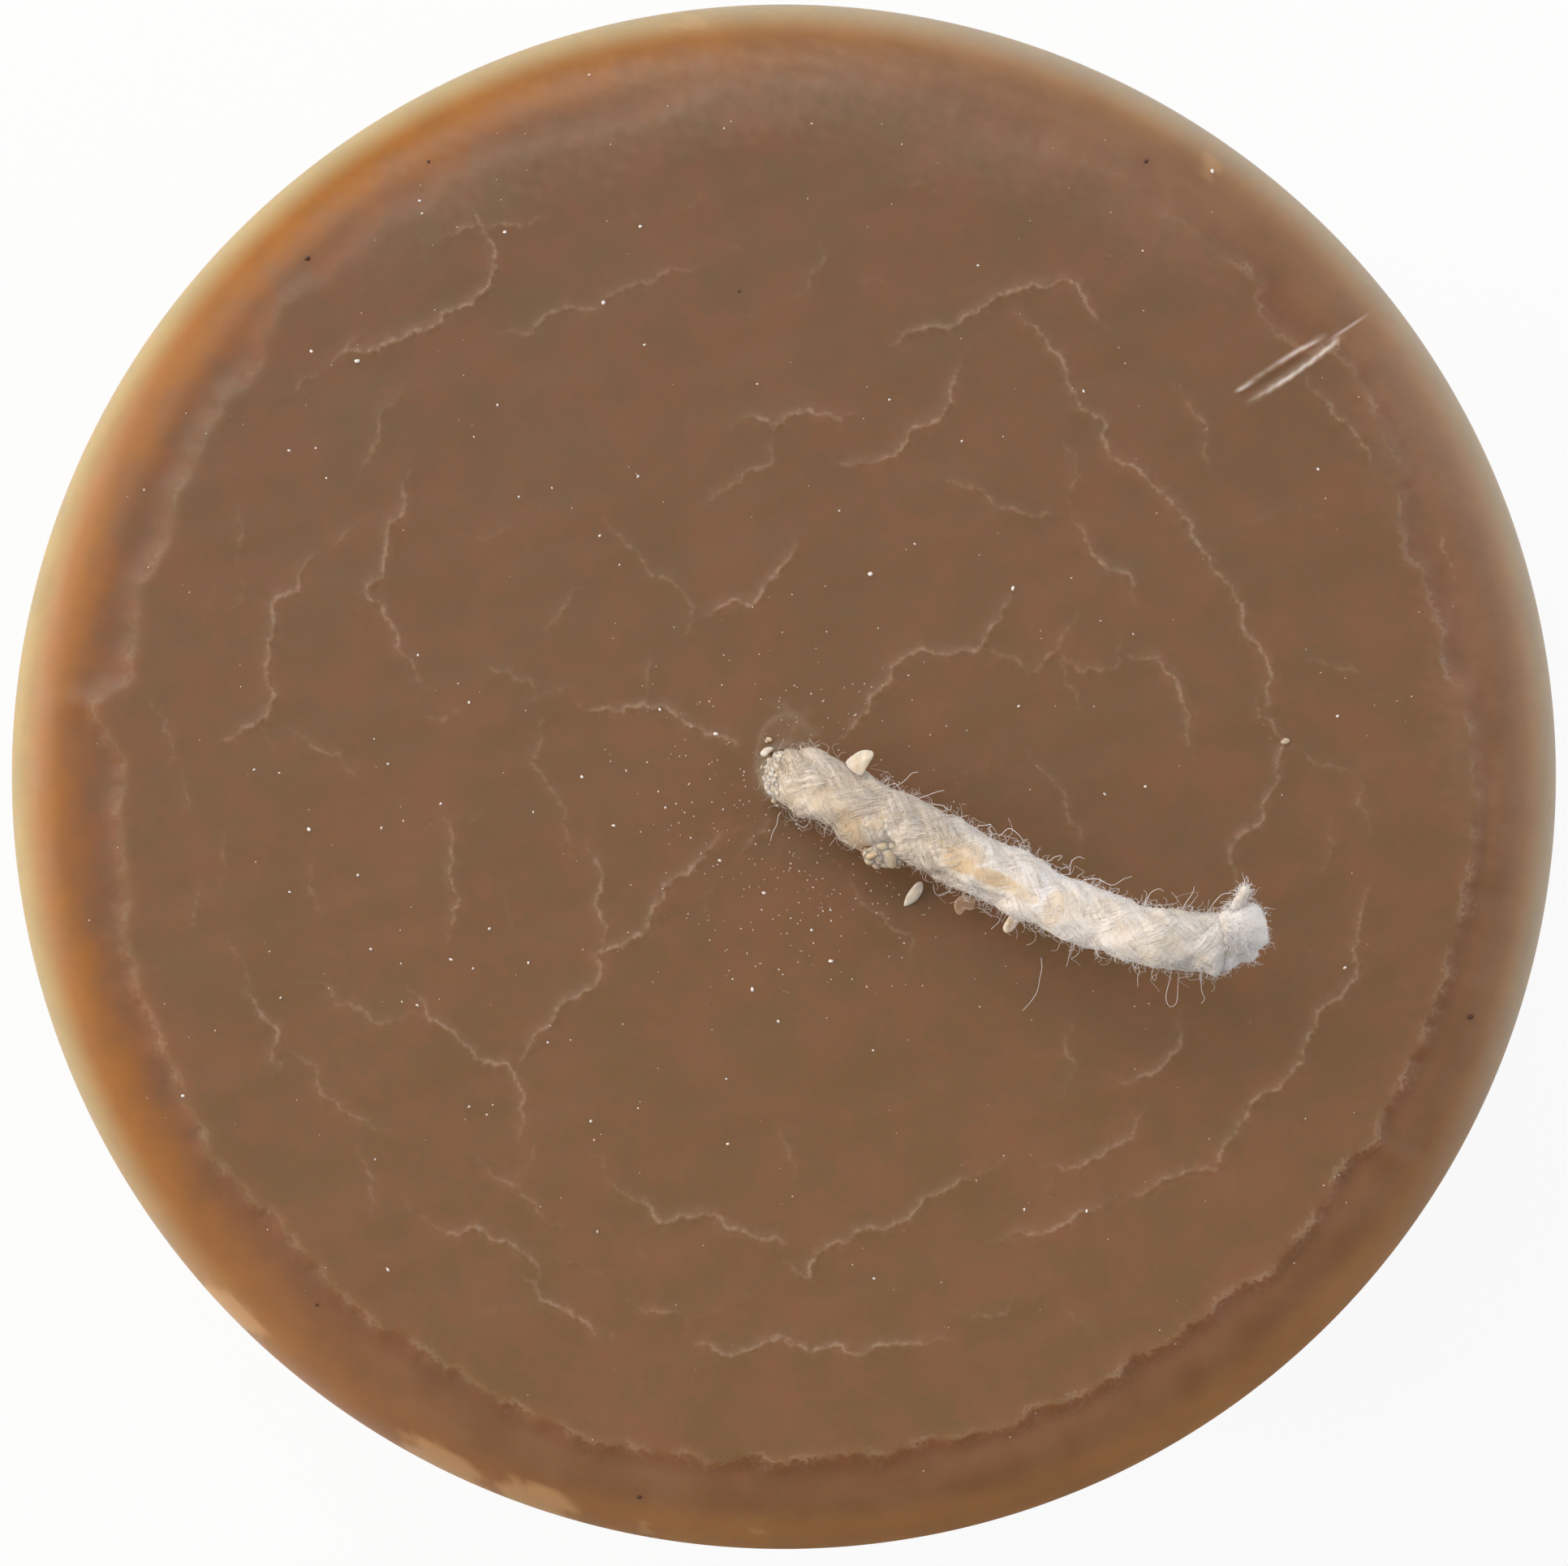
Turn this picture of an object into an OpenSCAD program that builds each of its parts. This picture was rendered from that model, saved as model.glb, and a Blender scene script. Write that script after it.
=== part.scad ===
// A poured wax pillar candle with a second pour on its top and a braided cotton wick.
// The wick runs up through the wax from the base and lies over to one side at the top.
// Origin at the centre of the base, +Z up the pillar, millimetres.

/* [Wax pillar] */
// Diameter of the pillar
body_d = 70; // [50:1:100]
// Height from the base to the top of the second pour
body_h = 100; // [60:1:200]
// Radius of the soft shoulder round the top
shoulder_r = 3.5; // [1:0.25:4]
// Radius of the small round at the foot
foot_r = 1; // [0.5:0.1:3]

/* [Second pour] */
// Thickness of the second pour above the bare rim
pour_t = 0.25; // [0.1:0.05:0.6]
// Width of the rim that the second pour leaves bare, at its narrowest
rim_w = 3.6; // [3:0.1:8]
// Depth of the small notches along the ragged edge
ragged_t = 0.22; // [0:0.02:0.5]
// Points round the ragged edge
edge_points = 180; // [90:10:240]

/* [Wick] */
// Diameter of the wick
wick_d = 2.7; // [1.5:0.1:4]
// Free play between the wick and the wax cast round it, on the radius
wick_seat_gap = 0.02; // [0.01:0.01:0.05]
// Length of cord in which one strand goes once round the wick
braid_lay = 10; // [6:0.5:14]
// Depth of the grooves between the strands
braid_depth = 0.34; // [0.1:0.02:0.5]
// How far the cut end fans out, as a share of the wick's radius
fray_flare = 0.12; // [0:0.02:0.3]
// Height that the wax creeps up round the wick
meniscus_h = 0.5; // [0.2:0.1:1]

/* [Knife scratch] */
// Length of the scratch
scratch_l = 5.6; // [3:0.2:7]
// Width of the scratch at its broad end
scratch_w = 0.7; // [0.4:0.05:1.2]
// Depth of the scratch at its broad end
scratch_t = 0.2; // [0.1:0.05:0.5]

/* [Hidden] */
wax_colour = "#7f5d46";
cotton_colour = "#e8dfd3";
over = 1;

body_r = body_d / 2;
rim_z = body_h - pour_t;
flat_r = body_r - shoulder_r;

// Extra width of the bare rim every 15 degrees, counted counter-clockwise from +X
rim_extra = [0.4, 1.3, 0.4, 0.9, 0.6, 0.6, 0.3, 1.3, 0.8, 0.7, 1.3, 1.5,
    1.2, 1.1, 0.8, 1.0, 0.9, 0.5, 0.7, 0.7, 0.7, 0.5, 0.5, 0.4];
rim_step = 360 / len(rim_extra);
// How many notches go round the edge in each set, with how deep each set is
notch_sets = [[13, 0.55], [23, 0.45], [37, 0.5], [61, 0.35]];
notch_turn = 0.17;
// The second pour stops at least this far inside the place where the shoulder starts
edge_clear = 0.1;

wick_r = wick_d / 2;
bore_r = wick_r + wick_seat_gap;
wick_sides = 32;
strands_each_way = 4;
strand_lift = 0.45;
// The wax that creeps up the wick has a hollow flank of this radius
flank_r = 1.25 * meniscus_h;

// The wick's centre line above the wax, as x, y and height over the top of the second pour.
// The first points stand straight up, clear of the wax that creeps up round the wick.
lean_points = [[0, 0, 0], [0, 0, 0.3], [0, 0, 0.6], [0, 0, 0.9], [0.4, -0.08, 1.7], [1.35, -0.32, 2.4],
    [2.78, -0.95, 2.95], [5.72, -2.42, 3.6], [8.57, -3.84, 4.55], [11.38, -5.18, 5.8], [14.2, -6.32, 7.0],
    [17.0, -7.0, 8.15], [19.5, -6.95, 9.05], [20.2, -6.8, 9.3]];
steps_per_span = 8;
// Distance over which the braid begins to show as the wick leaves the wax
braid_start = 2;
// The frayed end opens over this length, in wick radii
fray_l = 1.6;
// The blunt end is an outer and an inner ring: share of the wick's radius, mean reach, unevenness
end_outer = [0.86, 0.42, 0.22];
end_inner = [0.45, 0.5, 0.2];
// The loose yarn that has sprung up out of the cut end: its own centre line and its radius
yarn_points = [[18.75, -6.6, 9.2], [19.35, -5.7, 10.15], [19.9, -4.7, 10.9]];
yarn_r = 0.4;
yarn_sides = 8;
yarn_steps = 4;
yarn_taper = 0.25;
yarn_dome = 0.4;

// Where the scratch starts, as x and y from the axis, and its direction
scratch_at = [20.5, 17.0];
scratch_turn = 32.5;
scratch_tip_share = 0.3;
scratch_r = (scratch_w * scratch_w / 4 + scratch_t * scratch_t) / (2 * scratch_t);

function len_of(v) = sqrt(v * v);
function unit(v) = v / max(len_of(v), 0.000001);
function blend(a, b, t) = a + (b - a) * t;
function ease(t) = t < 0 ? 0 : t > 1 ? 1 : t * t * (3 - 2 * t);
function wave(x) = sin(360 * x);

// Extra rim width at any angle: eased between the values on either side
function extra_at(a) =
    let (k = floor(a / rim_step), t = a / rim_step - k, n = len(rim_extra))
    blend(rim_extra[k % n], rim_extra[(k + 1) % n], ease(t));

// Ragged edge: the mean line plus sets of notches, none of which reaches past the flat
function edge_r(a) =
    let (jag = [for (s = notch_sets) s[1] * wave(s[0] * a / 360 + notch_turn * s[0])])
    min(flat_r - edge_clear, body_r - rim_w - extra_at(a) + ragged_t * (jag * [1, 1, 1, 1]));

function edge_outline() =
    [for (i = [0 : edge_points - 1]) let (a = 360 * i / edge_points) edge_r(a) * [cos(a), sin(a)]];

// A smooth curve through points p, from point k to k + 1 at share t
function curve_at(p, k, t) =
    let (
        a = p[max(k - 1, 0)], b = p[k],
        c = p[k + 1], d = p[min(k + 2, len(p) - 1)]
    )
    0.5 * (2 * b + (c - a) * t + (2 * a - 5 * b + 4 * c - d) * t * t
        + (3 * b - a - 3 * c + d) * t * t * t);

function curve(p, steps) = concat(
    [for (k = [0 : len(p) - 2], i = [0 : steps - 1]) curve_at(p, k, i / steps)],
    [p[len(p) - 1]]);

function tangents(p) =
    [for (i = [0 : len(p) - 1]) unit(p[min(i + 1, len(p) - 1)] - p[max(i - 1, 0)])];

// Distance along the curve to each of its points
function run(p, i = 0, so_far = 0, out = []) =
    i == len(p) ? out
    : let (now = i == 0 ? 0 : so_far + len_of(p[i] - p[i - 1])) run(p, i + 1, now, concat(out, [now]));

// A side direction carried along the curve without twist
function sides(t, i = 0, out = []) =
    i == len(t) ? out
    : let (last = i == 0 ? [0, 1, 0] : out[i - 1], flat = last - (last * t[i]) * t[i])
        sides(t, i + 1, concat(out, [unit(flat)]));

// Braid relief at angle a and distance s: 1 on the crown of a strand, 0 in the deepest groove.
// Two families of strands wind opposite ways, and each passes over one and under one.
function round_top(x) = sqrt(max(0, 1 - 4 * pow(x - round(x), 2)));
function braid(a, s) =
    let (
        u = strands_each_way * (a / 360 + s / braid_lay),
        v = strands_each_way * (a / 360 - s / braid_lay),
        over_u = strand_lift * cos(180 * (v - round(u))),
        over_v = -strand_lift * cos(180 * (u - round(v)))
    )
    max(0, max(round_top(u) + over_u, round_top(v) + over_v)) / (1 + strand_lift);

// Uneven cut of the frayed end, from -1 to 1 round the wick
function cut(a) = 0.6 * sin(3 * a + 40) + 0.4 * sin(7 * a + 100);

// Faces of a closed tube whose points come ring by ring, with one end point before and one after
function tube_faces(rings, n) =
    let (last = rings * n + 1)
    concat(
        [for (i = [0 : n - 1]) [0, 1 + i, 1 + (i + 1) % n]],
        [for (r = [0 : rings - 2], i = [0 : n - 1])
            let (a = 1 + r * n + i, b = 1 + r * n + (i + 1) % n) each [[a, a + n, b], [b, a + n, b + n]]],
        [for (i = [0 : n - 1]) [last, last - n + (i + 1) % n, last - n + i]]
    );

// One ring of points round p, with radii r(i) given as a list
function ring(p, t, side, radii) =
    let (up = cross(t, side), n = len(radii))
    [for (i = [0 : n - 1]) let (a = 360 * i / n) p + radii[i] * (cos(a) * side + sin(a) * up)];

module wax_profile() {
    difference() {
        union() {
            translate([0, foot_r]) square([body_r, rim_z - foot_r - shoulder_r]);
            square([body_r - foot_r, foot_r + over]);
            translate([body_r - foot_r, foot_r]) circle(foot_r, $fn = 64);
            translate([0, rim_z - shoulder_r - over]) square([flat_r, shoulder_r + over]);
            translate([flat_r, rim_z - shoulder_r]) circle(shoulder_r, $fn = 96);
        }
        translate([-body_d, -over]) square([body_d, body_h + 2 * over]);
    }
}

// Wax drawn up round the wick: a ring with a hollow, quarter-round flank
module meniscus() {
    translate([0, 0, body_h]) rotate_extrude($fn = 96) difference() {
        translate([0, -pour_t / 2]) square([bore_r + meniscus_h, meniscus_h + pour_t / 2]);
        translate([bore_r + flank_r, flank_r]) circle(flank_r, $fn = 64);
    }
}

module second_pour() {
    translate([0, 0, rim_z - pour_t]) linear_extrude(2 * pour_t) polygon(edge_outline());
}

module knife_scratch() {
    lift = scratch_r - scratch_t;
    tip_r = scratch_r * scratch_tip_share;
    translate([scratch_at[0], scratch_at[1], body_h + lift]) rotate([0, 0, scratch_turn]) {
        sphere(scratch_r, $fn = 48);
        rotate([0, 90 + atan((lift + pour_t) / scratch_l), 0])
            cylinder(scratch_l, scratch_r, tip_r, $fn = 48);
    }
}

module wax_body() {
    color(wax_colour) difference() {
        union() {
            rotate_extrude($fn = 180) wax_profile();
            second_pour();
            meniscus();
        }
        translate([0, 0, -over]) cylinder(body_h + meniscus_h + 2 * over, bore_r, bore_r, $fn = 96);
        knife_scratch();
    }
}

// A ring past the end of the path whose points reach out unevenly
function end_ring(p, t, side, shape, shift) =
    let (round_it = ring(p, t, side, [for (i = [0 : wick_sides - 1]) wick_r * shape[0]]))
    [for (i = [0 : wick_sides - 1])
        round_it[i] + t * (shape[1] + shape[2] * cut(360 * i / wick_sides + shift))];

module braided_cord() {
    path = [for (p = curve(lean_points, steps_per_span)) p + [0, 0, body_h]];
    t = tangents(path);
    side = sides(t);
    s = run(path);
    last = len(path) - 1;
    rings = [for (k = [0 : last])
        let (
            shown = ease(s[k] / braid_start),
            fray = ease(1 - (s[last] - s[k]) / (fray_l * wick_r)),
            out_r = wick_r * (1 + fray_flare * fray)
        )
        ring(path[k], t[k], side[k], [for (i = [0 : wick_sides - 1])
            out_r - braid_depth * shown * (1 - braid(360 * i / wick_sides, s[k]))])];
    foot_ring = ring([0, 0, 0], [0, 0, 1], [0, 1, 0], [for (i = [0 : wick_sides - 1]) wick_r]);
    outer = end_ring(path[last], t[last], side[last], end_outer, 0);
    inner = end_ring(path[last], t[last], side[last], end_inner, 180);
    all_rings = concat([foot_ring], rings, [outer, inner]);
    points = concat([[0, 0, 0]], [for (r = all_rings) each r], [path[last] + t[last] * end_outer[1]]);
    polyhedron(points, tube_faces(len(all_rings), wick_sides), convexity = 6);
}

// A plain tapering yarn along its own points, with a slightly domed end
module loose_yarn(points, r) {
    path = [for (p = curve(points, yarn_steps)) p + [0, 0, body_h]];
    t = tangents(path);
    side = sides(t);
    last = len(path) - 1;
    rings = [for (k = [0 : last])
        ring(path[k], t[k], side[k], [for (i = [0 : yarn_sides - 1]) r * (1 - yarn_taper * k / last)])];
    all_points = concat([path[0]], [for (q = rings) each q], [path[last] + t[last] * r * yarn_dome]);
    polyhedron(all_points, tube_faces(len(rings), yarn_sides), convexity = 4);
}

module wick() {
    color(cotton_colour) union() {
        braided_cord();
        loose_yarn(yarn_points, yarn_r);
    }
}

wax_body();
wick();
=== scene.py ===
# %% [markdown]
# # A poured wax pillar candle with a braided cotton wick
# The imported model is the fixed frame. It already says how large the candle is, where its base
# stands and where the wick runs. This lesson only gives the two pieces the surface of real wax
# and real cotton, and a soft light that shows them. Lengths are worked out in millimetres,
# because that is how a maker thinks of them, and turned to metres when a mesh is filled.

import math

import bpy
import numpy as np
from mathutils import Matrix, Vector
from mathutils.geometry import delaunay_2d_cdt


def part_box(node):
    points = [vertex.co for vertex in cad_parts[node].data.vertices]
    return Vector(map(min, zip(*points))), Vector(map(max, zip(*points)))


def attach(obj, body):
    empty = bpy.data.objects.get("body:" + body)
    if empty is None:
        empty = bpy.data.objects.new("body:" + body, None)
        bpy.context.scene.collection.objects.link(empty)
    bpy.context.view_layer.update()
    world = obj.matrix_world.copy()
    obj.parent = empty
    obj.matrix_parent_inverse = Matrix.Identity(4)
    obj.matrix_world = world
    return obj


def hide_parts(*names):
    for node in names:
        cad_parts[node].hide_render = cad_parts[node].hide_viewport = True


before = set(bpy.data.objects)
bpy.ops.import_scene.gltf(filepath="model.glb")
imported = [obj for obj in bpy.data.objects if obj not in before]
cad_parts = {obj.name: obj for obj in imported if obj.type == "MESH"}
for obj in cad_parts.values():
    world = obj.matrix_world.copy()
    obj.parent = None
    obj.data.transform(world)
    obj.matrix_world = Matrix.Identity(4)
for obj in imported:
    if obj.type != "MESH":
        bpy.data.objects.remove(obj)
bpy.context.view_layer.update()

MM = 0.001
wax_low, wax_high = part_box("wax_body")
BODY_R = (wax_high.x - wax_low.x) / 2 / MM
TOP_Z = 100.0
print("pillar radius", round(BODY_R, 3), "mm, wax reaches", round(wax_high.z / MM, 3), "mm")

# %% [markdown]
# ## Where the photograph's marks lie on the wax
# The camera looks straight down on the candle, so a mark on the top keeps its place: it only
# needs one scale. The round outline is seen on the shoulder, a little below the top, and that
# is why the scale of the top plane is found through the two depths and not read off directly.

# %% The photograph's frame
IMAGE_W, IMAGE_H = 1932, 1929
DISC_CENTRE = (966, 957)
DISC_RADIUS = 951
SHOULDER_R = 3.5
POUR_T = 0.25
EYE_HEIGHT = 300.0
SENSOR = 36.0
OUTLINE_DEPTH = EYE_HEIGHT + SHOULDER_R + POUR_T
PX = BODY_R / DISC_RADIUS * EYE_HEIGHT / OUTLINE_DEPTH
LENS = SENSOR * DISC_RADIUS / IMAGE_W / BODY_R * OUTLINE_DEPTH


def to_mm(pixels, height=0.0):
    """Pixels of the photograph as x and y in millimetres, for marks that lie at a height over
    the wax. A mark nearer to the eye looks larger by eye height / (eye height - its height)."""
    p = np.asarray(pixels, float).reshape(-1, 2)
    flat = np.column_stack((p[:, 0] - DISC_CENTRE[0], DISC_CENTRE[1] - p[:, 1])) * PX
    return flat * (1 - np.reshape(height, (-1, 1)) / EYE_HEIGHT)


print("one pixel on the top is", round(PX, 5), "mm, lens", round(LENS, 1), "mm")

# %% [markdown]
# ## Small tools
# A surface here is a set of points and a set of triangles, both worked out as whole arrays.
# One function carries a ring along a path, one closes a soft lump, and one hands the arrays to
# Blender with any value that the material will read, such as how deep a point lies in a groove.

# %% Arrays to a mesh


def eased(x, low, high):
    """0 below low, 1 above high, and a smooth S between them."""
    t = np.clip((x - low) / (high - low), 0, 1)
    return t * t * (3 - 2 * t)


def bump_of(x, width):
    """A bell of height 1 at x = 0 that has nearly died out at twice its width."""
    return np.exp(-((x / width) ** 2))


def unit(vectors):
    """The same directions at length 1."""
    return vectors / np.maximum(np.linalg.norm(vectors, axis=-1, keepdims=True), 1e-12)


def turns_of(count):
    """Equal angles all round."""
    return 2 * np.pi * np.arange(count) / count


def ripples(x, y, wave, seed, count=5):
    """Soft random hills from about -1 to 1: a sum of sines that run in random directions."""
    rng = np.random.default_rng(seed)
    turn = rng.uniform(0, 2 * np.pi, count)
    phase = rng.uniform(0, 2 * np.pi, count)
    size = wave * rng.uniform(0.7, 1.5, count)
    total = sum(np.sin(2 * np.pi * (x * np.cos(a) + y * np.sin(a)) / w + p)
                for a, p, w in zip(turn, phase, size))
    return total / count**0.5


def piece_from(name, points, triangles, material, values=None, vectors=None):
    """A smooth-shaded object from points in millimetres, with named values at its points."""
    mesh = bpy.data.meshes.new(name)
    mesh.from_pydata(points * MM, [], triangles)
    mesh.polygons.foreach_set("use_smooth", np.ones(len(triangles), bool))
    for key, data in (values or {}).items():
        mesh.attributes.new(key, "FLOAT", "POINT").data.foreach_set("value", np.ravel(data))
    for key, data in (vectors or {}).items():
        mesh.attributes.new(key, "FLOAT_VECTOR", "POINT").data.foreach_set("vector", np.ravel(data))
    mesh.materials.append(material)
    mesh.update()
    piece = bpy.data.objects.new(name, mesh)
    bpy.context.scene.collection.objects.link(piece)
    print(name, len(points), "points", len(triangles), "triangles")
    return piece


def stacked(parts):
    """Several (points, triangles) pairs as one pair."""
    starts = np.cumsum([0] + [len(p) for p, _ in parts[:-1]])
    return np.vstack([p for p, _ in parts]), np.vstack([f + s for (_, f), s in zip(parts, starts)])


def lattice(rows, columns, closed=True):
    """Triangles of a grid of points counted row by row. Its columns go round if it is closed."""
    r, c = np.meshgrid(np.arange(rows - 1), np.arange(columns if closed else columns - 1), indexing="ij")
    a, b = r * columns + c, r * columns + (c + 1) % columns
    d, e = a + columns, b + columns
    return np.vstack((np.column_stack((a.ravel(), b.ravel(), e.ravel())),
                      np.column_stack((a.ravel(), e.ravel(), d.ravel()))))


def capped(rows, columns):
    """Triangles of rings counted row by row and closed by two points that follow all the rings:
    the first of them lies before the first ring and the second one after the last."""
    first, last, end = rows * columns, rows * columns + 1, (rows - 1) * columns
    here, then = np.arange(columns), (np.arange(columns) + 1) % columns
    return np.vstack((lattice(rows, columns), np.column_stack((np.full(columns, first), then, here)),
                      np.column_stack((np.full(columns, last), end + here, end + then))))


# %% Rings carried along paths


def smooth_path(knots, steps):
    """A Catmull-Rom curve through knots, with the given number of steps from knot to knot."""
    k = np.asarray(knots, float)
    before, after = np.vstack((k[:1], k[:-2])), np.vstack((k[2:], k[-1:]))
    a, b, c, d = before[:, None], k[:-1, None], k[1:, None], after[:, None]
    t = (np.arange(steps) / steps)[None, :, None]
    curve = 0.5 * (2 * b + (c - a) * t + (2 * a - 5 * b + 4 * c - d) * t**2 + (3 * b - a - 3 * c + d) * t**3)
    return np.vstack((curve.reshape(-1, k.shape[1]), k[-1:]))


def lengths_along(path):
    """Distance from the first point to each point of a path or of many paths (..., steps, axes)."""
    legs = np.linalg.norm(np.diff(path, axis=-2), axis=-1)
    return np.concatenate((np.zeros(legs.shape[:-1] + (1,)), np.cumsum(legs, axis=-1)), axis=-1)


def at_equal_steps(path, count):
    """The same path as count points at equal distances."""
    far = lengths_along(path)
    s = np.linspace(0, far[-1], count)
    return np.column_stack([np.interp(s, far, path[:, k]) for k in range(path.shape[1])])


def tubes(paths, radii, sides, guide):
    """Closed tubes round many paths at once: point = path + radius * (cos a * side + sin a * up),
    where side is square to the path and to a guide direction, and up is square to both.
    paths is (tubes, steps, 3), radii (tubes, steps) or (tubes, steps, sides)."""
    count, steps, _ = paths.shape
    ahead = unit(np.gradient(paths, axis=1))
    side = unit(np.cross(np.broadcast_to(guide, paths.shape), ahead))
    up = np.cross(ahead, side)
    a = turns_of(sides)
    r = radii[..., None] if radii.ndim == 2 else radii
    out = (np.cos(a) * r)[..., None] * side[:, :, None] + (np.sin(a) * r)[..., None] * up[:, :, None]
    rings = (paths[:, :, None] + out).reshape(count, -1, 3)
    points = np.concatenate((rings, paths[:, :1], paths[:, -1:]), axis=1)
    shift = np.arange(count)[:, None, None] * points.shape[1]
    return points.reshape(-1, 3), (capped(steps, sides)[None] + shift).reshape(-1, 3)


# %% Soft lumps


def lumps(centres, axes, rough, seed, rings=7, columns=10):
    """Closed pebble shapes: a sphere by latitude and longitude, pushed in and out by sines of
    random phase, then stretched by three axes given for each lump as rows (lumps, 3, 3)."""
    rng = np.random.default_rng(seed)
    lat = np.linspace(0, np.pi, rings + 2)[1:-1]
    la, lo = np.meshgrid(lat, turns_of(columns), indexing="ij")
    ball = np.stack((np.sin(la) * np.cos(lo), np.sin(la) * np.sin(lo), np.cos(la)), axis=-1).reshape(-1, 3)
    ball = np.vstack((ball, [[0, 0, 1], [0, 0, -1]]))
    count = len(centres)
    waves = rng.normal(0, 2.2, (count, 3, 3))
    phase = rng.uniform(0, 2 * np.pi, (count, 1, 3))
    push = 1 + rough * np.sin(ball[None] @ waves + phase).sum(axis=2, keepdims=True) / 1.7
    points = np.einsum("nps,nsx->npx", ball[None] * push, axes) + centres[:, None]
    shift = np.arange(count)[:, None, None] * len(ball)
    return points.reshape(-1, 3), (capped(rings, columns)[:, ::-1] + shift).reshape(-1, 3)


def solid_size(points, triangles):
    """Volume inside a closed surface, positive when its faces point outwards."""
    a, b, c = (points[triangles[:, k]] for k in range(3))
    return float(np.einsum("ij,ij->i", a, np.cross(b, c)).sum() / 6)


# %% Colours and nodes


def rgb(code):
    """An sRGB hex colour as the linear values that a shader socket takes."""
    s = np.array([int(code[k:k + 2], 16) for k in (1, 3, 5)]) / 255
    return (*np.where(s <= 0.04045, s / 12.92, ((s + 0.055) / 1.055) ** 2.4), 1.0)


def add(tree, kind, settings=None, sockets=None):
    """Adds a node with its settings and its inputs. An input is a value, or the output to link."""
    made = tree.nodes.new(kind)
    for key, value in (settings or {}).items():
        setattr(made, key, value)
    for key, value in (sockets or {}).items():
        if isinstance(value, bpy.types.NodeSocket):
            tree.links.new(value, made.inputs[key])
        else:
            made.inputs[key].default_value = value
    return made


def new_material(name):
    """An empty node material and its tree."""
    material = bpy.data.materials.new(name)
    material.use_nodes = True
    material.node_tree.nodes.clear()
    return material, material.node_tree


def finished(tree, shader, settings, sockets):
    """A shader node as the surface of a material."""
    made = add(tree, shader, settings, sockets)
    add(tree, "ShaderNodeOutputMaterial", None, {"Surface": made.outputs[0]})


def mixed(tree, share, first, second):
    """The output of a shader mix: all first where share is 0, all second where it is 1."""
    return add(tree, "ShaderNodeMixShader", None, {0: share, 1: first, 2: second}).outputs[0]


def blended(tree, share, first, second, how="MIX"):
    """The output of a colour mix: all first where share is 0, all second where it is 1. Colours
    are outputs, values or hex codes."""
    first, second = (rgb(c) if isinstance(c, str) else c for c in (first, second))
    settings = {"data_type": "RGBA", "blend_type": how, "clamp_factor": True}
    return add(tree, "ShaderNodeMix", settings, {0: share, 6: first, 7: second}).outputs[2]


def ranged(tree, value, low, high, out_low=0.0, out_high=1.0, smooth=True):
    """A value carried from one range to another, eased at both ends unless smooth is off."""
    kind = "SMOOTHSTEP" if smooth else "LINEAR"
    sockets = {"Value": value, "From Min": low, "From Max": high, "To Min": out_low, "To Max": out_high}
    return add(tree, "ShaderNodeMapRange", {"interpolation_type": kind}, sockets).outputs[0]


def worked(tree, how, first, *others):
    """A sum, product or other step on values, from the first to the last, as a socket."""
    for other in others or (0.0,):
        first = add(tree, "ShaderNodeMath", {"operation": how}, {0: first, 1: other}).outputs[0]
    return first


def on_vectors(tree, how, first, second=(0, 0, 0)):
    """A step on vectors, as a socket: a vector, or a value for a length or a dot product."""
    made = add(tree, "ShaderNodeVectorMath", {"operation": how}, {0: first, 1: second})
    return made.outputs["Value" if how in ("LENGTH", "DOT_PRODUCT") else "Vector"]


def facing(tree, way, azimuth):
    """How far a direction turns to an azimuth in degrees: 1 towards it, -1 away from it."""
    a = math.radians(azimuth)
    return on_vectors(tree, "DOT_PRODUCT", way, (math.cos(a), math.sin(a), 0))


def coordinates(tree):
    """The place of a spot in its object, which is its place in the frame."""
    return add(tree, "ShaderNodeTexCoord").outputs["Object"]


def attribute(tree, name, kind="Fac"):
    """A value stored at the mesh's points."""
    settings = {"attribute_type": "GEOMETRY", "attribute_name": name}
    return add(tree, "ShaderNodeAttribute", settings).outputs[kind]


def noise_of(tree, where, size_mm, detail=2.0, rough=0.5):
    """Cloudy noise whose spots are about size_mm across, from 0 to 1."""
    sockets = {"Vector": where, "Scale": 1 / (size_mm * MM), "Detail": detail, "Roughness": rough}
    return add(tree, "ShaderNodeTexNoise", None, sockets).outputs[0]


def bumped(tree, strength, deep_mm, height, below=None):
    """A bump map as a normal, laid over another one if that is given."""
    sockets = {"Strength": strength, "Distance": deep_mm * MM, "Height": height}
    if below is not None:
        sockets["Normal"] = below
    return add(tree, "ShaderNodeBump", None, sockets).outputs[0]


# %% [markdown]
# ## Camera, floor and light
# The photograph was taken from straight above in soft daylight from the upper left. The lamps
# are wide discs, so that shadows have soft edges, and the lit top shows a colour about as it is
# written. The low lamp at the left makes the wax glow at its rim, helped by a glow painted into
# the rim's colour. The background is white to the camera, while the floor still takes the
# candle's shadow.

# %% Camera
bpy.context.scene.view_settings.view_transform = "Standard"
camera_data = bpy.data.cameras.new("camera")
camera_data.lens = LENS
camera_data.sensor_width = SENSOR
camera_data.shift_y = (DISC_CENTRE[1] - IMAGE_H / 2) / IMAGE_W
camera = bpy.data.objects.new("camera", camera_data)
camera.location = (0, 0, (TOP_Z + EYE_HEIGHT) * MM)
bpy.context.scene.collection.objects.link(camera)
bpy.context.scene.camera = camera
print("camera at", tuple(round(v, 3) for v in camera.location))

# %% White to the camera, plain light for everything else
MIRRORED_DARK, MIRRORED_BRIGHT = 0.05, 0.9
WINDOW_AZIMUTH = 110


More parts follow.
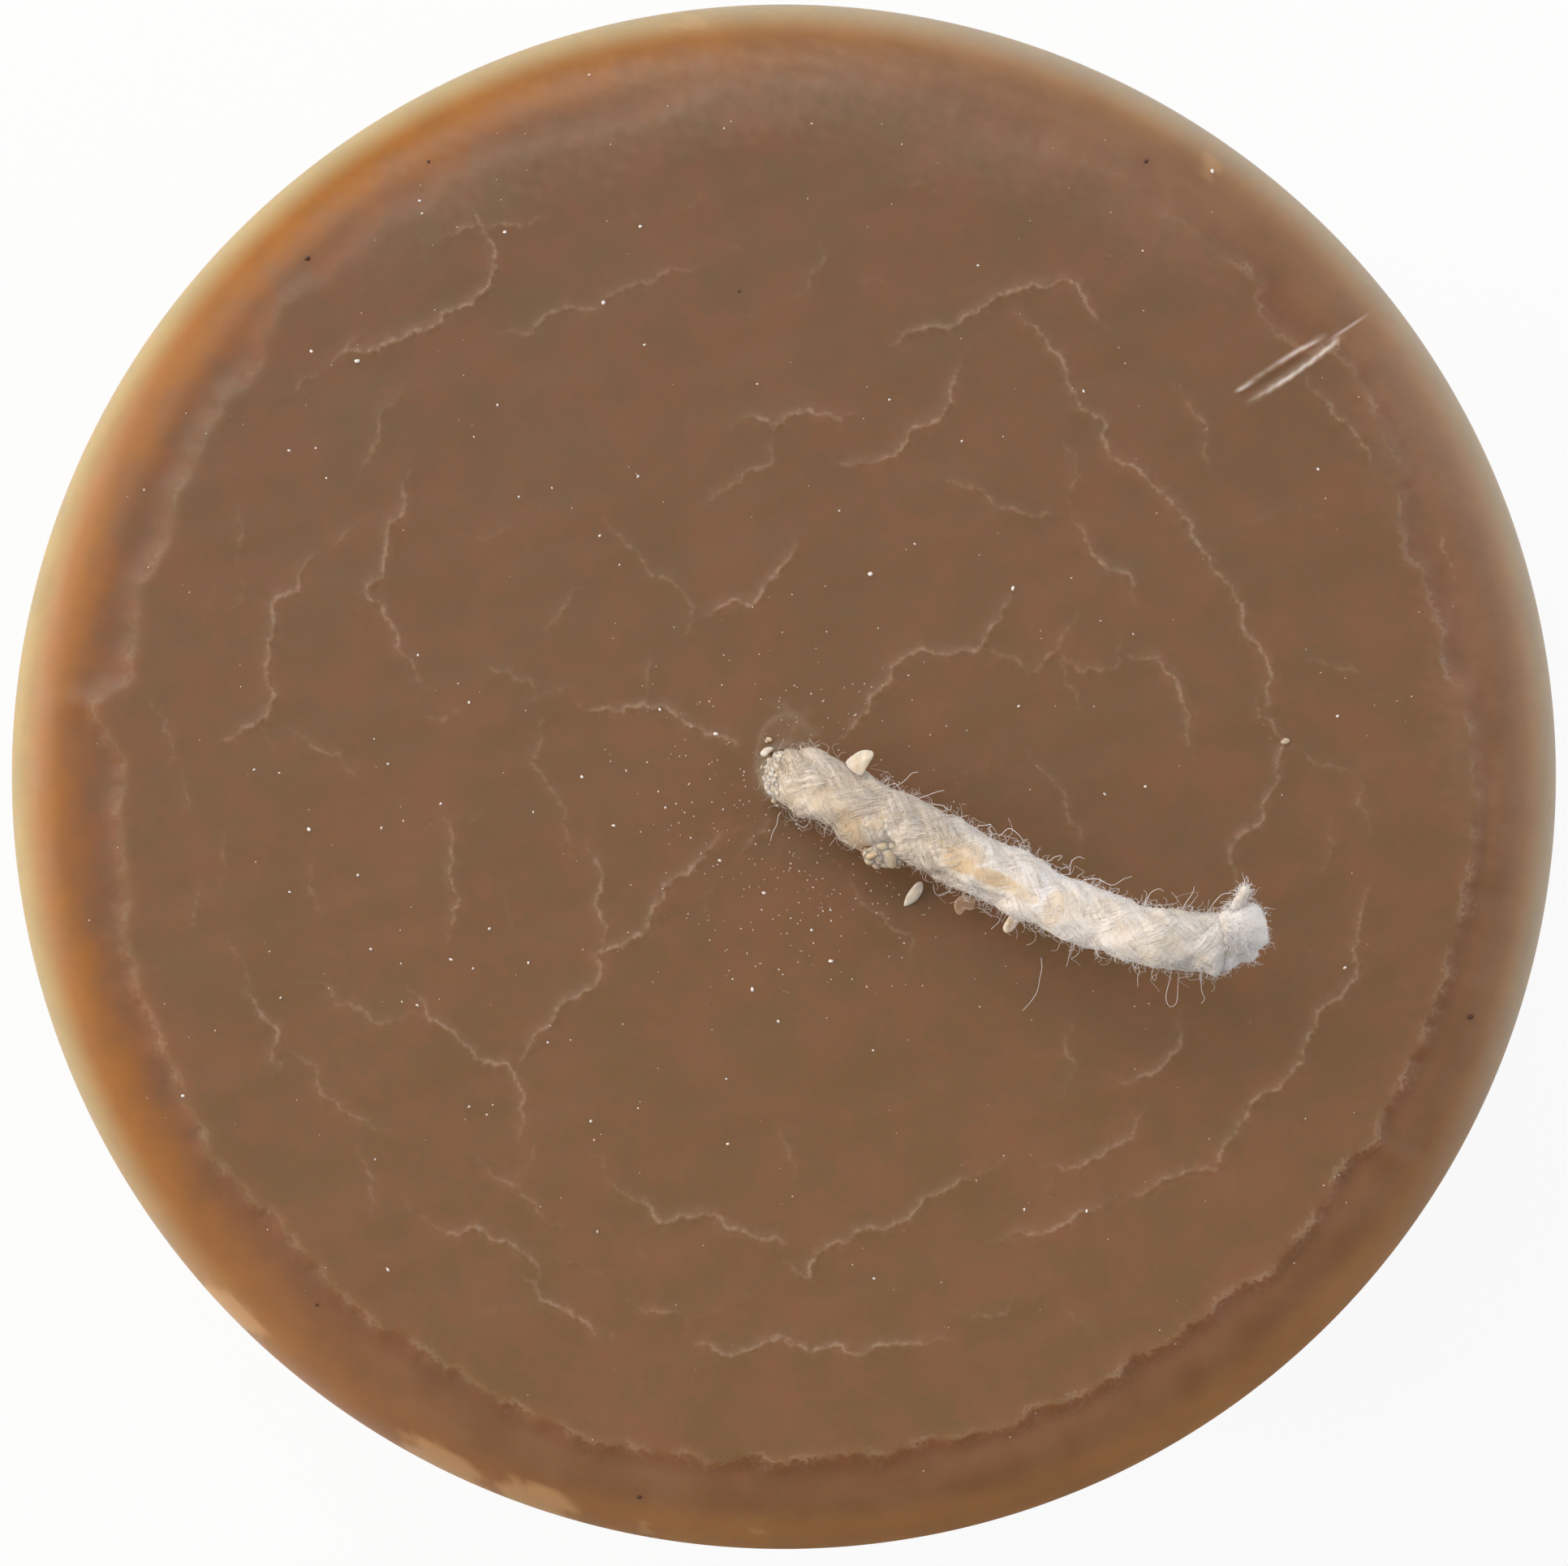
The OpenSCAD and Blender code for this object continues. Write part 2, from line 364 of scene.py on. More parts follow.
def seen_white(tree):
    """Two sockets: whether a ray sees plain white, and how bright that white is. The camera sees
    full white. The wax rim mirrors it too, dimmer on the side away from the window, where the
    floor and the room beside a real candle are in shade."""
    path = add(tree, "ShaderNodeLightPath")
    spot = add(tree, "ShaderNodeNewGeometry").outputs["Position"]
    way = on_vectors(tree, "NORMALIZE", on_vectors(tree, "MULTIPLY", spot, (1, 1, 0)))
    window_side = facing(tree, way, WINDOW_AZIMUTH)
    mirrored = ranged(tree, window_side, -0.97, -0.4, MIRRORED_DARK, MIRRORED_BRIGHT)
    direct = worked(tree, "MAXIMUM", path.outputs["Is Camera Ray"], path.outputs["Is Transmission Ray"])
    share = worked(tree, "MAXIMUM", direct, path.outputs["Is Glossy Ray"])
    return share, worked(tree, "MAXIMUM", direct, mirrored)


SKY_TOWARDS = (-0.45, 0.70, 0.55)
SKY_DARK, SKY_BRIGHT = 0.42, 0.58
world = bpy.data.worlds.new("soft_daylight")
world.use_nodes = True
sky = world.node_tree
sky.nodes.clear()
sky_side = on_vectors(sky, "DOT_PRODUCT", add(sky, "ShaderNodeTexCoord").outputs["Generated"], SKY_TOWARDS)
sky_level = ranged(sky, sky_side, -0.8, 1.0, SKY_DARK, SKY_BRIGHT)
daylight = add(sky, "ShaderNodeBackground", None, {"Color": rgb("#f6f8ff"), "Strength": sky_level})
paper_share, paper_level = seen_white(sky)
paper = add(sky, "ShaderNodeBackground", None, {"Color": (1, 1, 1, 1), "Strength": paper_level})
sky_mix = mixed(sky, paper_share, daylight.outputs[0], paper.outputs[0])
add(sky, "ShaderNodeOutputWorld", None, {"Surface": sky_mix})
bpy.context.scene.world = world
print("sky from", SKY_DARK, "to", SKY_BRIGHT)

# %% Floor
FLOOR_R = 1500.0
FLOOR_ROUND = 64
SHADOW_SHARE = 0.1
floor_material, tree = new_material("matt_white_board")
board = add(tree, "ShaderNodeBsdfDiffuse", None, {"Color": rgb("#e9e8e4")})
white_share, white_level = seen_white(tree)
lit = add(tree, "ShaderNodeEmission", None, {"Color": (1, 1, 1, 1), "Strength": white_level})
lit_share = worked(tree, "MULTIPLY", white_share, 1 - SHADOW_SHARE)
floor_mix = mixed(tree, lit_share, board.outputs[0], lit.outputs[0])
add(tree, "ShaderNodeOutputMaterial", None, {"Surface": floor_mix})
floor_turn = turns_of(FLOOR_ROUND)
floor_rings = [np.column_stack((r * np.cos(floor_turn), r * np.sin(floor_turn), 0 * floor_turn))
               for r in (FLOOR_R, 1.0)]
floor = piece_from("floor", np.vstack(floor_rings), lattice(2, FLOOR_ROUND), floor_material)

# %% Lamps
LAMP_AWAY = 2.0


def lamp(name, azimuth, elevation, across, level, colour):
    """A round soft lamp 2 m from the candle's top. across is how wide it looks from there, in
    degrees. level 1 lights a white card that faces it to plain white: power = pi^2 level d^2."""
    az, el = math.radians(azimuth), math.radians(elevation)
    away = Vector((math.cos(az) * math.cos(el), math.sin(az) * math.cos(el), math.sin(el)))
    data = bpy.data.lights.new(name, "AREA")
    data.shape = "DISK"
    data.size = 2 * LAMP_AWAY * math.tan(math.radians(across / 2))
    data.energy = math.pi**2 * level * LAMP_AWAY**2
    data.color = rgb(colour)[:3]
    made = bpy.data.objects.new(name, data)
    made.location = Vector((0, 0, TOP_Z * MM)) + away * LAMP_AWAY
    made.rotation_euler = away.to_track_quat("Z", "Y").to_euler()
    bpy.context.scene.collection.objects.link(made)
    return made


lamps = [
    lamp("window_light", azimuth=121, elevation=55, across=40, level=0.445, colour="#fffaf2"),
    lamp("low_left_light", azimuth=172, elevation=14, across=46, level=1.0, colour="#fff3e2"),
    lamp("pale_right_light", azimuth=18, elevation=24, across=56, level=0.32, colour="#e9f0ff"),
]
print([(made.name, round(made.data.energy, 2)) for made in lamps])

# %% [markdown]
# ## The wax pillar
# A pillar like this is cast in a metal mould. The wax shrinks and dishes as it cools, so a
# second, thin pour levels the top. It never quite reaches the rim: it stops in a ragged edge
# that lies here a quarter of a millimetre over the first pour. As the skin of the second pour
# cools it wrinkles into fine raised lines.
#
# The top could be a plain disc with a bump map, but the ragged edge throws a real shadow and
# catches the light, so it is made as shape. A round grid can't follow a torn line, so here the
# points are laid in rows along each torn line, with a plain lattice of points between them, and
# a Delaunay triangulation joins them. The height of every point is one formula of x and y.

# %% Torn lines, read from the photograph
SECOND_POUR_EDGE = [
    (529, 252), (472, 274), (440, 312), (383, 354), (348, 370), (336, 389), (319, 446), (300, 475),
    (274, 491), (214, 615), (203, 676), (172, 714), (159, 835), (131, 851), (115, 869), (121, 893),
    (152, 938), (145, 980), (148, 1050), (156, 1088), (153, 1152), (171, 1222), (258, 1420),
    (306, 1474), (328, 1487), (408, 1583), (462, 1631), (504, 1650), (609, 1720), (721, 1772),
    (893, 1803), (925, 1793), (964, 1803), (1040, 1791), (1085, 1793), (1149, 1774), (1187, 1771),
    (1251, 1755), (1276, 1736), (1347, 1715), (1398, 1672), (1436, 1656), (1487, 1621), (1509, 1595),
    (1570, 1564), (1634, 1481), (1643, 1452), (1665, 1426), (1691, 1411), (1707, 1369), (1752, 1286),
    (1755, 1261), (1774, 1226), (1811, 1076), (1820, 999), (1806, 848), (1782, 835), (1777, 778),
    (1752, 702), (1737, 686), (1724, 638), (1729, 587), (1714, 548), (1690, 500), (1668, 450),
    (1640, 430), (1605, 427), (1575, 412), (1554, 379), (1551, 351), (1538, 328), (1500, 312),
    (1474, 281), (1417, 255), (1404, 230), (1366, 207), (1315, 191), (1251, 182), (1142, 121),
    (1072, 105), (896, 101), (823, 142), (781, 157), (622, 193), (555, 220),
]
BOLD_WRINKLES = [
    [(577, 239), (615, 328), (599, 351), (580, 373), (497, 418), (415, 440), (399, 456)],
    [(505, 577), (491, 638), (478, 657), (469, 708), (453, 733), (491, 778), (494, 804), (526, 848)],
    [(392, 679), (371, 702), (367, 724), (344, 733), (330, 791), (332, 874), (325, 888), (265, 915)],
    [(858, 762), (893, 746), (925, 743), (969, 695), (982, 657)],
    [(708, 864), (727, 874), (765, 877), (794, 864), (928, 928)],
    [(899, 526), (918, 515), (957, 518), (1000, 507), (1033, 513), (1059, 507)],
    [(1095, 427), (1142, 401), (1174, 401), (1203, 388), (1213, 370), (1308, 344), (1331, 357),
     (1340, 376), (1369, 408)],
    [(1251, 386), (1302, 430), (1315, 469), (1337, 504), (1359, 523), (1369, 564), (1423, 593),
     (1442, 622), (1468, 644), (1480, 682), (1519, 724), (1531, 765), (1567, 829), (1563, 867),
     (1547, 880)],
    [(1184, 434), (1168, 504), (1130, 529), (1104, 558), (1060, 575), (1024, 568)],
    [(1248, 724), (1232, 765), (1206, 794), (1174, 810), (1130, 797), (1075, 855), (1066, 883),
     (1034, 906), (1028, 918)],
    [(1318, 628), (1331, 657), (1359, 695), (1391, 711), (1401, 746)],
    [(1547, 858), (1554, 883), (1583, 913), (1554, 1014), (1525, 1027), (1517, 1059), (1522, 1094)],
    [(1382, 804), (1417, 813), (1449, 832), (1473, 934)],
    [(1606, 457), (1627, 494), (1668, 527), (1693, 581)],
    [(1690, 1088), (1669, 1152), (1675, 1190), (1653, 1226), (1627, 1248), (1611, 1273), (1608, 1305),
     (1560, 1350), (1541, 1359), (1500, 1433), (1423, 1458), (1385, 1481)],
    [(1366, 1477), (1302, 1513), (1222, 1528)],
    [(1414, 1366), (1391, 1398), (1366, 1420), (1340, 1432), (1302, 1439), (1283, 1436)],
    [(1222, 1439), (1187, 1458), (1155, 1465), (1120, 1500), (1021, 1532), (1005, 1548), (999, 1573),
     (967, 1554)],
    [(932, 1662), (964, 1648), (983, 1650), (996, 1666), (1028, 1659), (1063, 1666), (1098, 1656),
     (1174, 1650)],
    [(1455, 1242), (1456, 1273), (1442, 1305), (1423, 1324), (1391, 1328), (1372, 1337)],
    [(633, 1319), (686, 1243), (730, 1217), (743, 1175), (800, 1143), (816, 1092), (855, 1072),
     (867, 1044), (912, 1021)],
    [(912, 1050), (934, 1034), (960, 993)],
    [(501, 1216), (548, 1267), (587, 1299), (633, 1321), (647, 1344), (638, 1407)],
    [(529, 1506), (555, 1521), (596, 1513), (663, 1557), (666, 1576)],
    [(644, 1573), (676, 1602), (740, 1643), (762, 1646)],
    [(746, 1452), (816, 1503), (883, 1497), (928, 1528), (957, 1523), (982, 1538)],
    [(848, 1646), (858, 1656), (893, 1666), (918, 1666), (963, 1648), (1000, 1656)],
    [(303, 1190), (305, 1222), (338, 1267), (337, 1305), (348, 1312), (335, 1324)],
    [(721, 1034), (743, 1082), (737, 1101), (745, 1171)],
    [(543, 993), (555, 1021), (561, 1133), (550, 1162)],
]
FINE_WRINKLES = [
    [(536, 303), (568, 277), (596, 281), (676, 269)],
    [(411, 439), (456, 405)],
    [(399, 456), (348, 488)],
    [(612, 411), (651, 408), (676, 386), (743, 375), (775, 351), (867, 325)],
    [(501, 469), (469, 517), (456, 564), (441, 587)],
    [(443, 644), (421, 666), (392, 679)],
    [(743, 638), (791, 692), (845, 733), (858, 762), (835, 788)],
    [(724, 714), (663, 784)],
    [(590, 804), (606, 829), (654, 835), (657, 858), (647, 874)],
    [(657, 858), (708, 845)],
    [(510, 880), (542, 890), (577, 867)],
    [(802, 800), (796, 861)],
    [(679, 877), (663, 899), (660, 938), (700, 1012), (698, 1041), (705, 1057)],
    [(351, 893), (456, 963)],
    [(953, 533), (947, 571), (880, 609), (864, 628)],
    [(182, 848), (185, 874), (204, 886), (214, 912), (204, 950)],
    [(226, 950), (235, 1001), (230, 1018)],
    [(297, 612), (292, 695)],
    [(1009, 293), (1015, 312), (999, 351), (977, 369)],
    [(1149, 580), (1270, 638), (1318, 628)],
    [(1308, 542), (1326, 568), (1318, 628)],
    [(1442, 472), (1480, 513), (1492, 587)],
    [(1206, 794), (1270, 826), (1299, 807), (1331, 746)],
    [(1299, 807), (1324, 848), (1331, 880)],
    [(1296, 791), (1315, 816), (1334, 829), (1372, 820), (1382, 804), (1382, 784)],
    [(1583, 913), (1611, 934), (1672, 953)],
    [(1679, 938), (1678, 982), (1690, 1033)],
    [(1260, 918), (1308, 976), (1333, 1040), (1331, 1065)],
    [(1796, 737), (1774, 631), (1761, 612)],
    [(1608, 813), (1691, 829)],
    [(1640, 1006), (1637, 1057), (1624, 1076)],
    [(1500, 1436), (1519, 1455)],
    [(1301, 1440), (1286, 1476)],
    [(1241, 1423), (1222, 1439)],
    [(1321, 1254), (1315, 1286), (1324, 1312), (1311, 1337), (1311, 1356)],
    [(1251, 1592), (1238, 1615), (1206, 1626), (1178, 1615)],
    [(1308, 1605), (1356, 1650)],
    [(1047, 1069), (1060, 1114), (1120, 1152), (1123, 1184)],
    [(246, 1079), (236, 1143), (249, 1152)],
    [(274, 1025), (279, 1057), (271, 1088)],
    [(281, 1149), (290, 1175), (303, 1190)],
    [(357, 1293), (383, 1312), (402, 1350), (421, 1369), (485, 1395)],
    [(367, 1210), (402, 1213), (421, 1235), (469, 1261), (513, 1247)],
    [(663, 1404), (657, 1426), (635, 1452)],
    [(587, 1426), (663, 1487), (676, 1506), (698, 1511)],
    [(437, 1407), (453, 1433), (458, 1503)],
    [(494, 1477), (529, 1506)],
    [(724, 1420), (749, 1433), (746, 1455)],
    [(759, 1602), (775, 1602), (794, 1616), (813, 1611), (848, 1629), (864, 1627)],
    [(561, 1021), (596, 1000)],
    [(379, 1057), (383, 1095), (399, 1127)],
    [(953, 1382), (976, 1420), (979, 1449)],
    [(883, 1088), (858, 1133)],
    [(686, 1551), (743, 1569)],
]
FAINT_WRINKLES = [
    [(816, 261), (877, 241)], [(877, 295), (931, 312)], [(628, 938), (660, 938)],
    [(564, 657), (599, 662), (638, 649)], [(450, 344), (440, 386)], [(327, 890), (338, 931)],
    [(265, 717), (252, 772)], [(300, 702), (297, 733), (281, 765)], [(427, 753), (426, 768)],
    [(599, 577), (590, 596)], [(861, 507), (842, 529)], [(644, 666), (660, 692)], [(676, 880), (708, 864)],
    [(1040, 344), (1069, 341), (1104, 356)], [(1091, 217), (1178, 242)], [(1347, 415), (1356, 434)],
    [(1528, 644), (1560, 638), (1576, 622)], [(1598, 625), (1640, 641)], [(1681, 855), (1716, 858)],
    [(1174, 957), (1244, 938)], [(1611, 702), (1627, 733)], [(1404, 277), (1426, 306), (1480, 325)],
    [(1382, 242), (1380, 265)], [(1378, 918), (1378, 957)], [(1289, 886), (1286, 912)],
    [(1085, 1267), (1082, 1299)], [(1624, 1337), (1602, 1369)], [(1583, 1449), (1570, 1477)],
    [(1152, 1369), (1155, 1401)], [(1292, 1586), (1264, 1608)], [(1726, 1197), (1723, 1222)],
    [(1426, 1560), (1414, 1578)], [(201, 993), (169, 1028)], [(622, 1098), (635, 1159)],
    [(344, 1133), (344, 1165)], [(395, 1171), (408, 1190)], [(587, 1621), (622, 1605)],
    [(759, 1736), (797, 1704)], [(899, 1589), (938, 1605)], [(855, 1621), (902, 1611)],
    [(721, 1772), (726, 1745)], [(319, 1044), (328, 1069)], [(418, 1002), (430, 1031)],
    [(765, 1528), (797, 1551)],
]
print(len(SECOND_POUR_EDGE), "points on the edge,", len(BOLD_WRINKLES), "bold wrinkles,",
      len(FINE_WRINKLES), "fine and", len(FAINT_WRINKLES), "faint ones")

# %% Soft ovals in the photograph
FILM_ROUND = 90


def seen_at(points):
    """Where points show in the photograph, in its pixels."""
    grow = EYE_HEIGHT / (EYE_HEIGHT - (points[..., 2:] - TOP_Z))
    flat = points[..., :2] * grow / PX
    return np.stack((DISC_CENTRE[0] + flat[..., 0], DISC_CENTRE[1] - flat[..., 1]), axis=-1)


def in_ovals(seen, ovals, soft=0.3):
    """How strongly seen points lie in one of several ovals: its strength inside, eased to 0
    across its rim. Each is centre x, y, half length, half width, turn in degrees, strength."""
    total = np.zeros(seen.shape[:-1])
    for x, y, long, wide, turn, strength in ovals.values():
        a = math.radians(turn)
        dx, dy = seen[..., 0] - x, y - seen[..., 1]
        u = (dx * math.cos(a) + dy * math.sin(a)) / long
        v = (dy * math.cos(a) - dx * math.sin(a)) / wide
        total = np.maximum(total, strength * (1 - eased(np.hypot(u, v), 1 - soft, 1 + soft)))
    return total


BLOOM = {
    "top": (930, 116, 240, 42, 2, 0.5), "top_left": (770, 150, 170, 40, 16, 0.32),
    "top_right": (1190, 160, 200, 52, -16, 0.34), "far_left": (560, 232, 130, 42, 28, 0.3),
    "far_right": (1400, 245, 130, 46, -38, 0.26), "by_the_root": (983, 893, 18, 15, 20, 0.5),
    "right_edge": (1735, 560, 44, 150, 22, 0.3), "right_edge_low": (1800, 850, 30, 170, 5, 0.28),
}
ROOT_FILM = (968, 935, 36, 55)


def on_film(share, turn):
    """Pixels on the oval of the wax film at the root, at a share of its size."""
    x, y, half_wide, half_high = ROOT_FILM
    return np.column_stack((x + share * half_wide * np.cos(turn), y + share * half_high * np.sin(turn)))


FROST = {
    "low_left_a": (547, 1802, 56, 15, -28, 0.85), "low_left_b": (662, 1847, 50, 17, -20, 0.9),
    "left_edge": (291, 1615, 48, 11, -42, 0.8), "low_small_a": (795, 1883, 12, 5, -10, 0.6),
    "low_small_b": (930, 1886, 8, 4, 0, 0.5), "upper_right": (1490, 205, 10, 14, 0, 0.5),
    "upper_left": (790, 272, 9, 7, 0, 0.4), "upper_rim": (845, 30, 26, 7, 10, 0.4),
}
print(len(BLOOM), "patches of bloom,", len(FROST), "of frost")

# %% Lines that stray as torn wax does
# how many points are tried at a time
BLOCK = 3000


def wandering(line, step, amount, seed, closed=False):
    """Points at equal steps along a line, each moved to its side by a sum of sines of its
    distance along the line. The move dies out at the two ends of an open line."""
    path = np.vstack((line, line[:1])) if closed else np.asarray(line)
    total = lengths_along(path)[-1]
    p = at_equal_steps(path, max(4, int(total / step) + 1))
    s = np.linspace(0, total, len(p))
    ahead = unit(np.gradient(p, axis=0))
    rng = np.random.default_rng(seed)
    away = np.zeros(len(p))
    for wave in (0.31, 0.52, 0.9, 1.6, 2.7):
        turns = max(1, round(total / wave)) if closed else total / wave
        away += wave**0.8 * np.sin(2 * np.pi * turns * s / total + rng.uniform(0, 2 * np.pi))
    if not closed:
        away *= eased(np.minimum(s, total - s), 0, 0.8)
    moved = p + amount * away[:, None] * np.column_stack((-ahead[:, 1], ahead[:, 0]))
    return moved[:-1] if closed else moved


def beside(line, gap):
    """The same line moved to its left by gap."""
    ahead = unit(np.gradient(line, axis=0))
    return line + gap * np.column_stack((-ahead[:, 1], ahead[:, 0]))


def nearest_leg(points, starts, ends):
    """Distance from each point to the nearest of many straight legs, and which leg that is.
    It works through the points in blocks, because every point is tried with every leg."""
    leg = ends - starts
    square = np.maximum((leg**2).sum(axis=1), 1e-12)
    far, which = np.empty(len(points)), np.empty(len(points), int)
    for first in range(0, len(points), BLOCK):
        p = points[first:first + BLOCK, None] - starts[None]
        share = np.clip((p * leg).sum(axis=2) / square, 0, 1)
        gap = ((p - share[..., None] * leg) ** 2).sum(axis=2)
        which[first:first + BLOCK] = gap.argmin(axis=1)
        far[first:first + BLOCK] = np.sqrt(gap.min(axis=1))
    return far, which


def inside(points, loop):
    """Whether each point lies inside a closed loop: a ray to the right crosses it an odd number
    of times."""
    after = np.roll(loop, -1, axis=0)
    odd = np.zeros(len(points), bool)
    for first in range(0, len(points), BLOCK):
        x, y = points[first:first + BLOCK, :1], points[first:first + BLOCK, 1:]
        spans = (loop[:, 1] > y) != (after[:, 1] > y)
        rise = np.where(after[:, 1] == loop[:, 1], 1e-12, after[:, 1] - loop[:, 1])
        cross = x < (after[:, 0] - loop[:, 0]) * (y - loop[:, 1]) / rise + loop[:, 0]
        odd[first:first + BLOCK] = (spans & cross).sum(axis=1) % 2 == 1
    return odd


SEAM_STEP, SEAM_STRAY = 0.17, 0.03
WRINKLE_STEP, WRINKLE_STRAY = 0.22, 0.05
seam = wandering(to_mm(SECOND_POUR_EDGE), SEAM_STEP, SEAM_STRAY, seed=3, closed=True)
wrinkles, bold = [], []
for share, lines in ((1.0, BOLD_WRINKLES), (0.6, FINE_WRINKLES), (0.3, FAINT_WRINKLES)):
    for line in lines:
        wrinkle = wandering(to_mm(line), WRINKLE_STEP, WRINKLE_STRAY, seed=20 + len(wrinkles))
        leg = np.arange(len(wrinkle) - 1)
        wrinkles.append(wrinkle)
        bold.append(share * eased(np.minimum(leg, leg[::-1]), -3, 9))
bold = np.concatenate(bold)
wrinkle_from = np.vstack([w[:-1] for w in wrinkles])
wrinkle_to = np.vstack([w[1:] for w in wrinkles])
print("second pour's edge", len(seam), "points,", len(wrinkles), "wrinkles in", len(bold), "legs")

# %% Knife scratch
SCRATCH_FROM, SCRATCH_TO = to_mm([(1533, 489), (1690, 384)])
SCRATCH_LONG = np.linalg.norm(SCRATCH_TO - SCRATCH_FROM)
SCRATCH_WAY = (SCRATCH_TO - SCRATCH_FROM) / SCRATCH_LONG
SCRATCH_ACROSS = np.array([-SCRATCH_WAY[1], SCRATCH_WAY[0]])
SCRATCH_HALF, SCRATCH_DEEP, SCRATCH_LIP = 0.33, 0.05, 0.05
# swells of each lip: place along the scratch, height and length, as shares of the whole
UPPER_LIP = ((0.02, 1.0, 0.09), (0.25, 0.55, 0.2), (0.5, 0.9, 0.12))
LOWER_LIP = ((0.25, 0.9, 0.18), (0.52, 0.85, 0.16), (0.72, 0.6, 0.2))
LIP_OUT, UPPER_WIDE, LOWER_WIDE = 0.05, 0.10, 0.11


def scratch_frame(p):
    """Distance along the scratch, as a share of its length, and signed distance beside it."""
    off = p - SCRATCH_FROM
    return off @ SCRATCH_WAY / SCRATCH_LONG, off @ SCRATCH_ACROSS


def scratch_height(p):
    """A shallow groove that narrows to an eighth of its width at the far end, with two torn lips
    where the knife pushed the wax up: depth * (1 - (side / half width)^2) and a bell beside it,
    raised along the scratch by the swells of its lip. Returns the height and the lips' share."""
    along, beside_it = scratch_frame(p)
    half = SCRATCH_HALF * (1 - 0.88 * eased(along, 0.40, 1.0))
    runs = eased(along, -0.06, 0.05) * (1 - eased(along, 0.93, 1.02))
    ragged = np.clip(1 + 0.35 * ripples(p[:, 0], p[:, 1], 0.5, seed=8), 0.3, 1.5)
    stray = 0.02 * ripples(p[:, 0], p[:, 1], 0.8, seed=9)
    hollow = np.clip(1 - (beside_it / half) ** 2, 0, 1)
    floor_of_it = -SCRATCH_DEEP * runs * half / SCRATCH_HALF * hollow
    upper, lower = (sum(high * bump_of(along - at, long) for at, high, long in lip)
                    for lip in (UPPER_LIP, LOWER_LIP))
    above = beside_it > 0
    bell = bump_of(np.abs(beside_it) - half - LIP_OUT + stray, np.where(above, UPPER_WIDE, LOWER_WIDE))
    lips = np.where(above, upper, lower) * runs * ragged * bell
    return floor_of_it + SCRATCH_LIP * lips, np.clip(lips, 0, 1)


print("scratch", round(float(SCRATCH_LONG), 2), "mm long")

# %% Height of the top
FLAT_R = BODY_R - SHOULDER_R
ROOT_AT = np.array((0.30, 0.0))
HOLE_R = 1.12
MENISCUS_W, MENISCUS_H = 0.75, 0.42
HILLS = ((0.014, 7.0, 1), (0.006, 2.4, 2))
WRINKLE_HIGH, WRINKLE_WIDE = 0.026, 0.10
SWELL_HIGH, SWELL_WIDE = 0.012, 0.4
TORN_LIP_HIGH, TORN_LIP_AT, TORN_LIP_WIDE = 0.016, 0.12, 0.13
# the finish reads distances from the torn edge and the wrinkles up to this many mm
REACH = 1.5
# how sharply the second pour ends, from 0 for a soft slope to 1 for a torn edge, by azimuth
TORN_AZIMUTH = (0, 40, 62, 92, 130, 155, 185, 215, 250, 290, 330, 360)
TORN_SHARE = (0.55, 0.60, 0.30, 0.0, 0.05, 0.30, 0.42, 0.45, 0.55, 0.85, 0.80, 0.55)


def top_surface(p):
    """Height over the top of the second pour at each x, y, and the values the finish reads.
    height = - pour thickness outside its edge, eased over the edge, + a lip along the edge
    + a ridge along each wrinkle + soft hills + wax drawn up round the wick + the scratch."""
    x, y = p.T
    r = np.hypot(x, y)
    root_r = np.hypot(*(p - ROOT_AT).T)
    edge, _ = nearest_leg(p, seam, np.roll(seam, -1, axis=0))
    edge = np.where(inside(p, seam), edge, -edge)
    gap, leg = nearest_leg(p, wrinkle_from, wrinkle_to)
    strength = bold[leg] * eased(r, 1.6, 2.6)
    torn = np.interp(np.degrees(np.arctan2(y, x)) % 360, TORN_AZIMUTH, TORN_SHARE)
    uneven = np.clip(0.62 + 0.42 * ripples(x, y, 1.7, seed=5), 0.1, 1.1)
    # a torn edge falls within half a millimetre, a soft one over more than one
    soft = 0.12 + 0.6 * (1 - torn)
    thick = POUR_T * eased(torn, -0.35, 0.45)
    height = -thick * (1 - eased(edge, -0.34 - soft, 0.10 + 0.5 * soft))
    torn_lip = TORN_LIP_HIGH * bump_of(edge - TORN_LIP_AT, TORN_LIP_WIDE)
    height += torn_lip * uneven * torn * (r < FLAT_R - 0.01)
    # the hills die out at the rim and at the root
    quiet = (1 - eased(r, FLAT_R - 2.2, FLAT_R - 0.2)) * eased(r, 1.2, 2.5)
    height += quiet * sum(high * ripples(x, y, wave, seed=seed) for high, wave, seed in HILLS)
    ridge = WRINKLE_HIGH * bump_of(gap, WRINKLE_WIDE) + SWELL_HIGH * bump_of(gap, SWELL_WIDE)
    height += strength * ridge
    # the wax climbs the wick along a quarter of a circle
    short = 1 - np.clip((root_r - HOLE_R) / MENISCUS_W, 0, 1)
    height += MENISCUS_H * (1 - np.sqrt(np.clip(1 - short**2, 0, 1)))
    groove, lips = scratch_height(p)
    near_scratch = np.abs(scratch_frame(p)[1]) < 1.2
    height += np.where(near_scratch, groove, 0)
    values = {
        "edge_mm": np.clip(edge, -REACH, REACH), "wrinkle_mm": np.clip(gap, 0, REACH),
        "wrinkle_share": strength, "lip": np.where(near_scratch, lips, 0), "torn": torn * uneven,
    }
    return height, values


print("flat top to", round(FLAT_R, 2), "mm from the axis, shoulder", SHOULDER_R, "mm")

# %% Points of the top
ROUND = 640
HOLE_ROUND = 96
LATTICE = 0.42
SQUARES = 5000
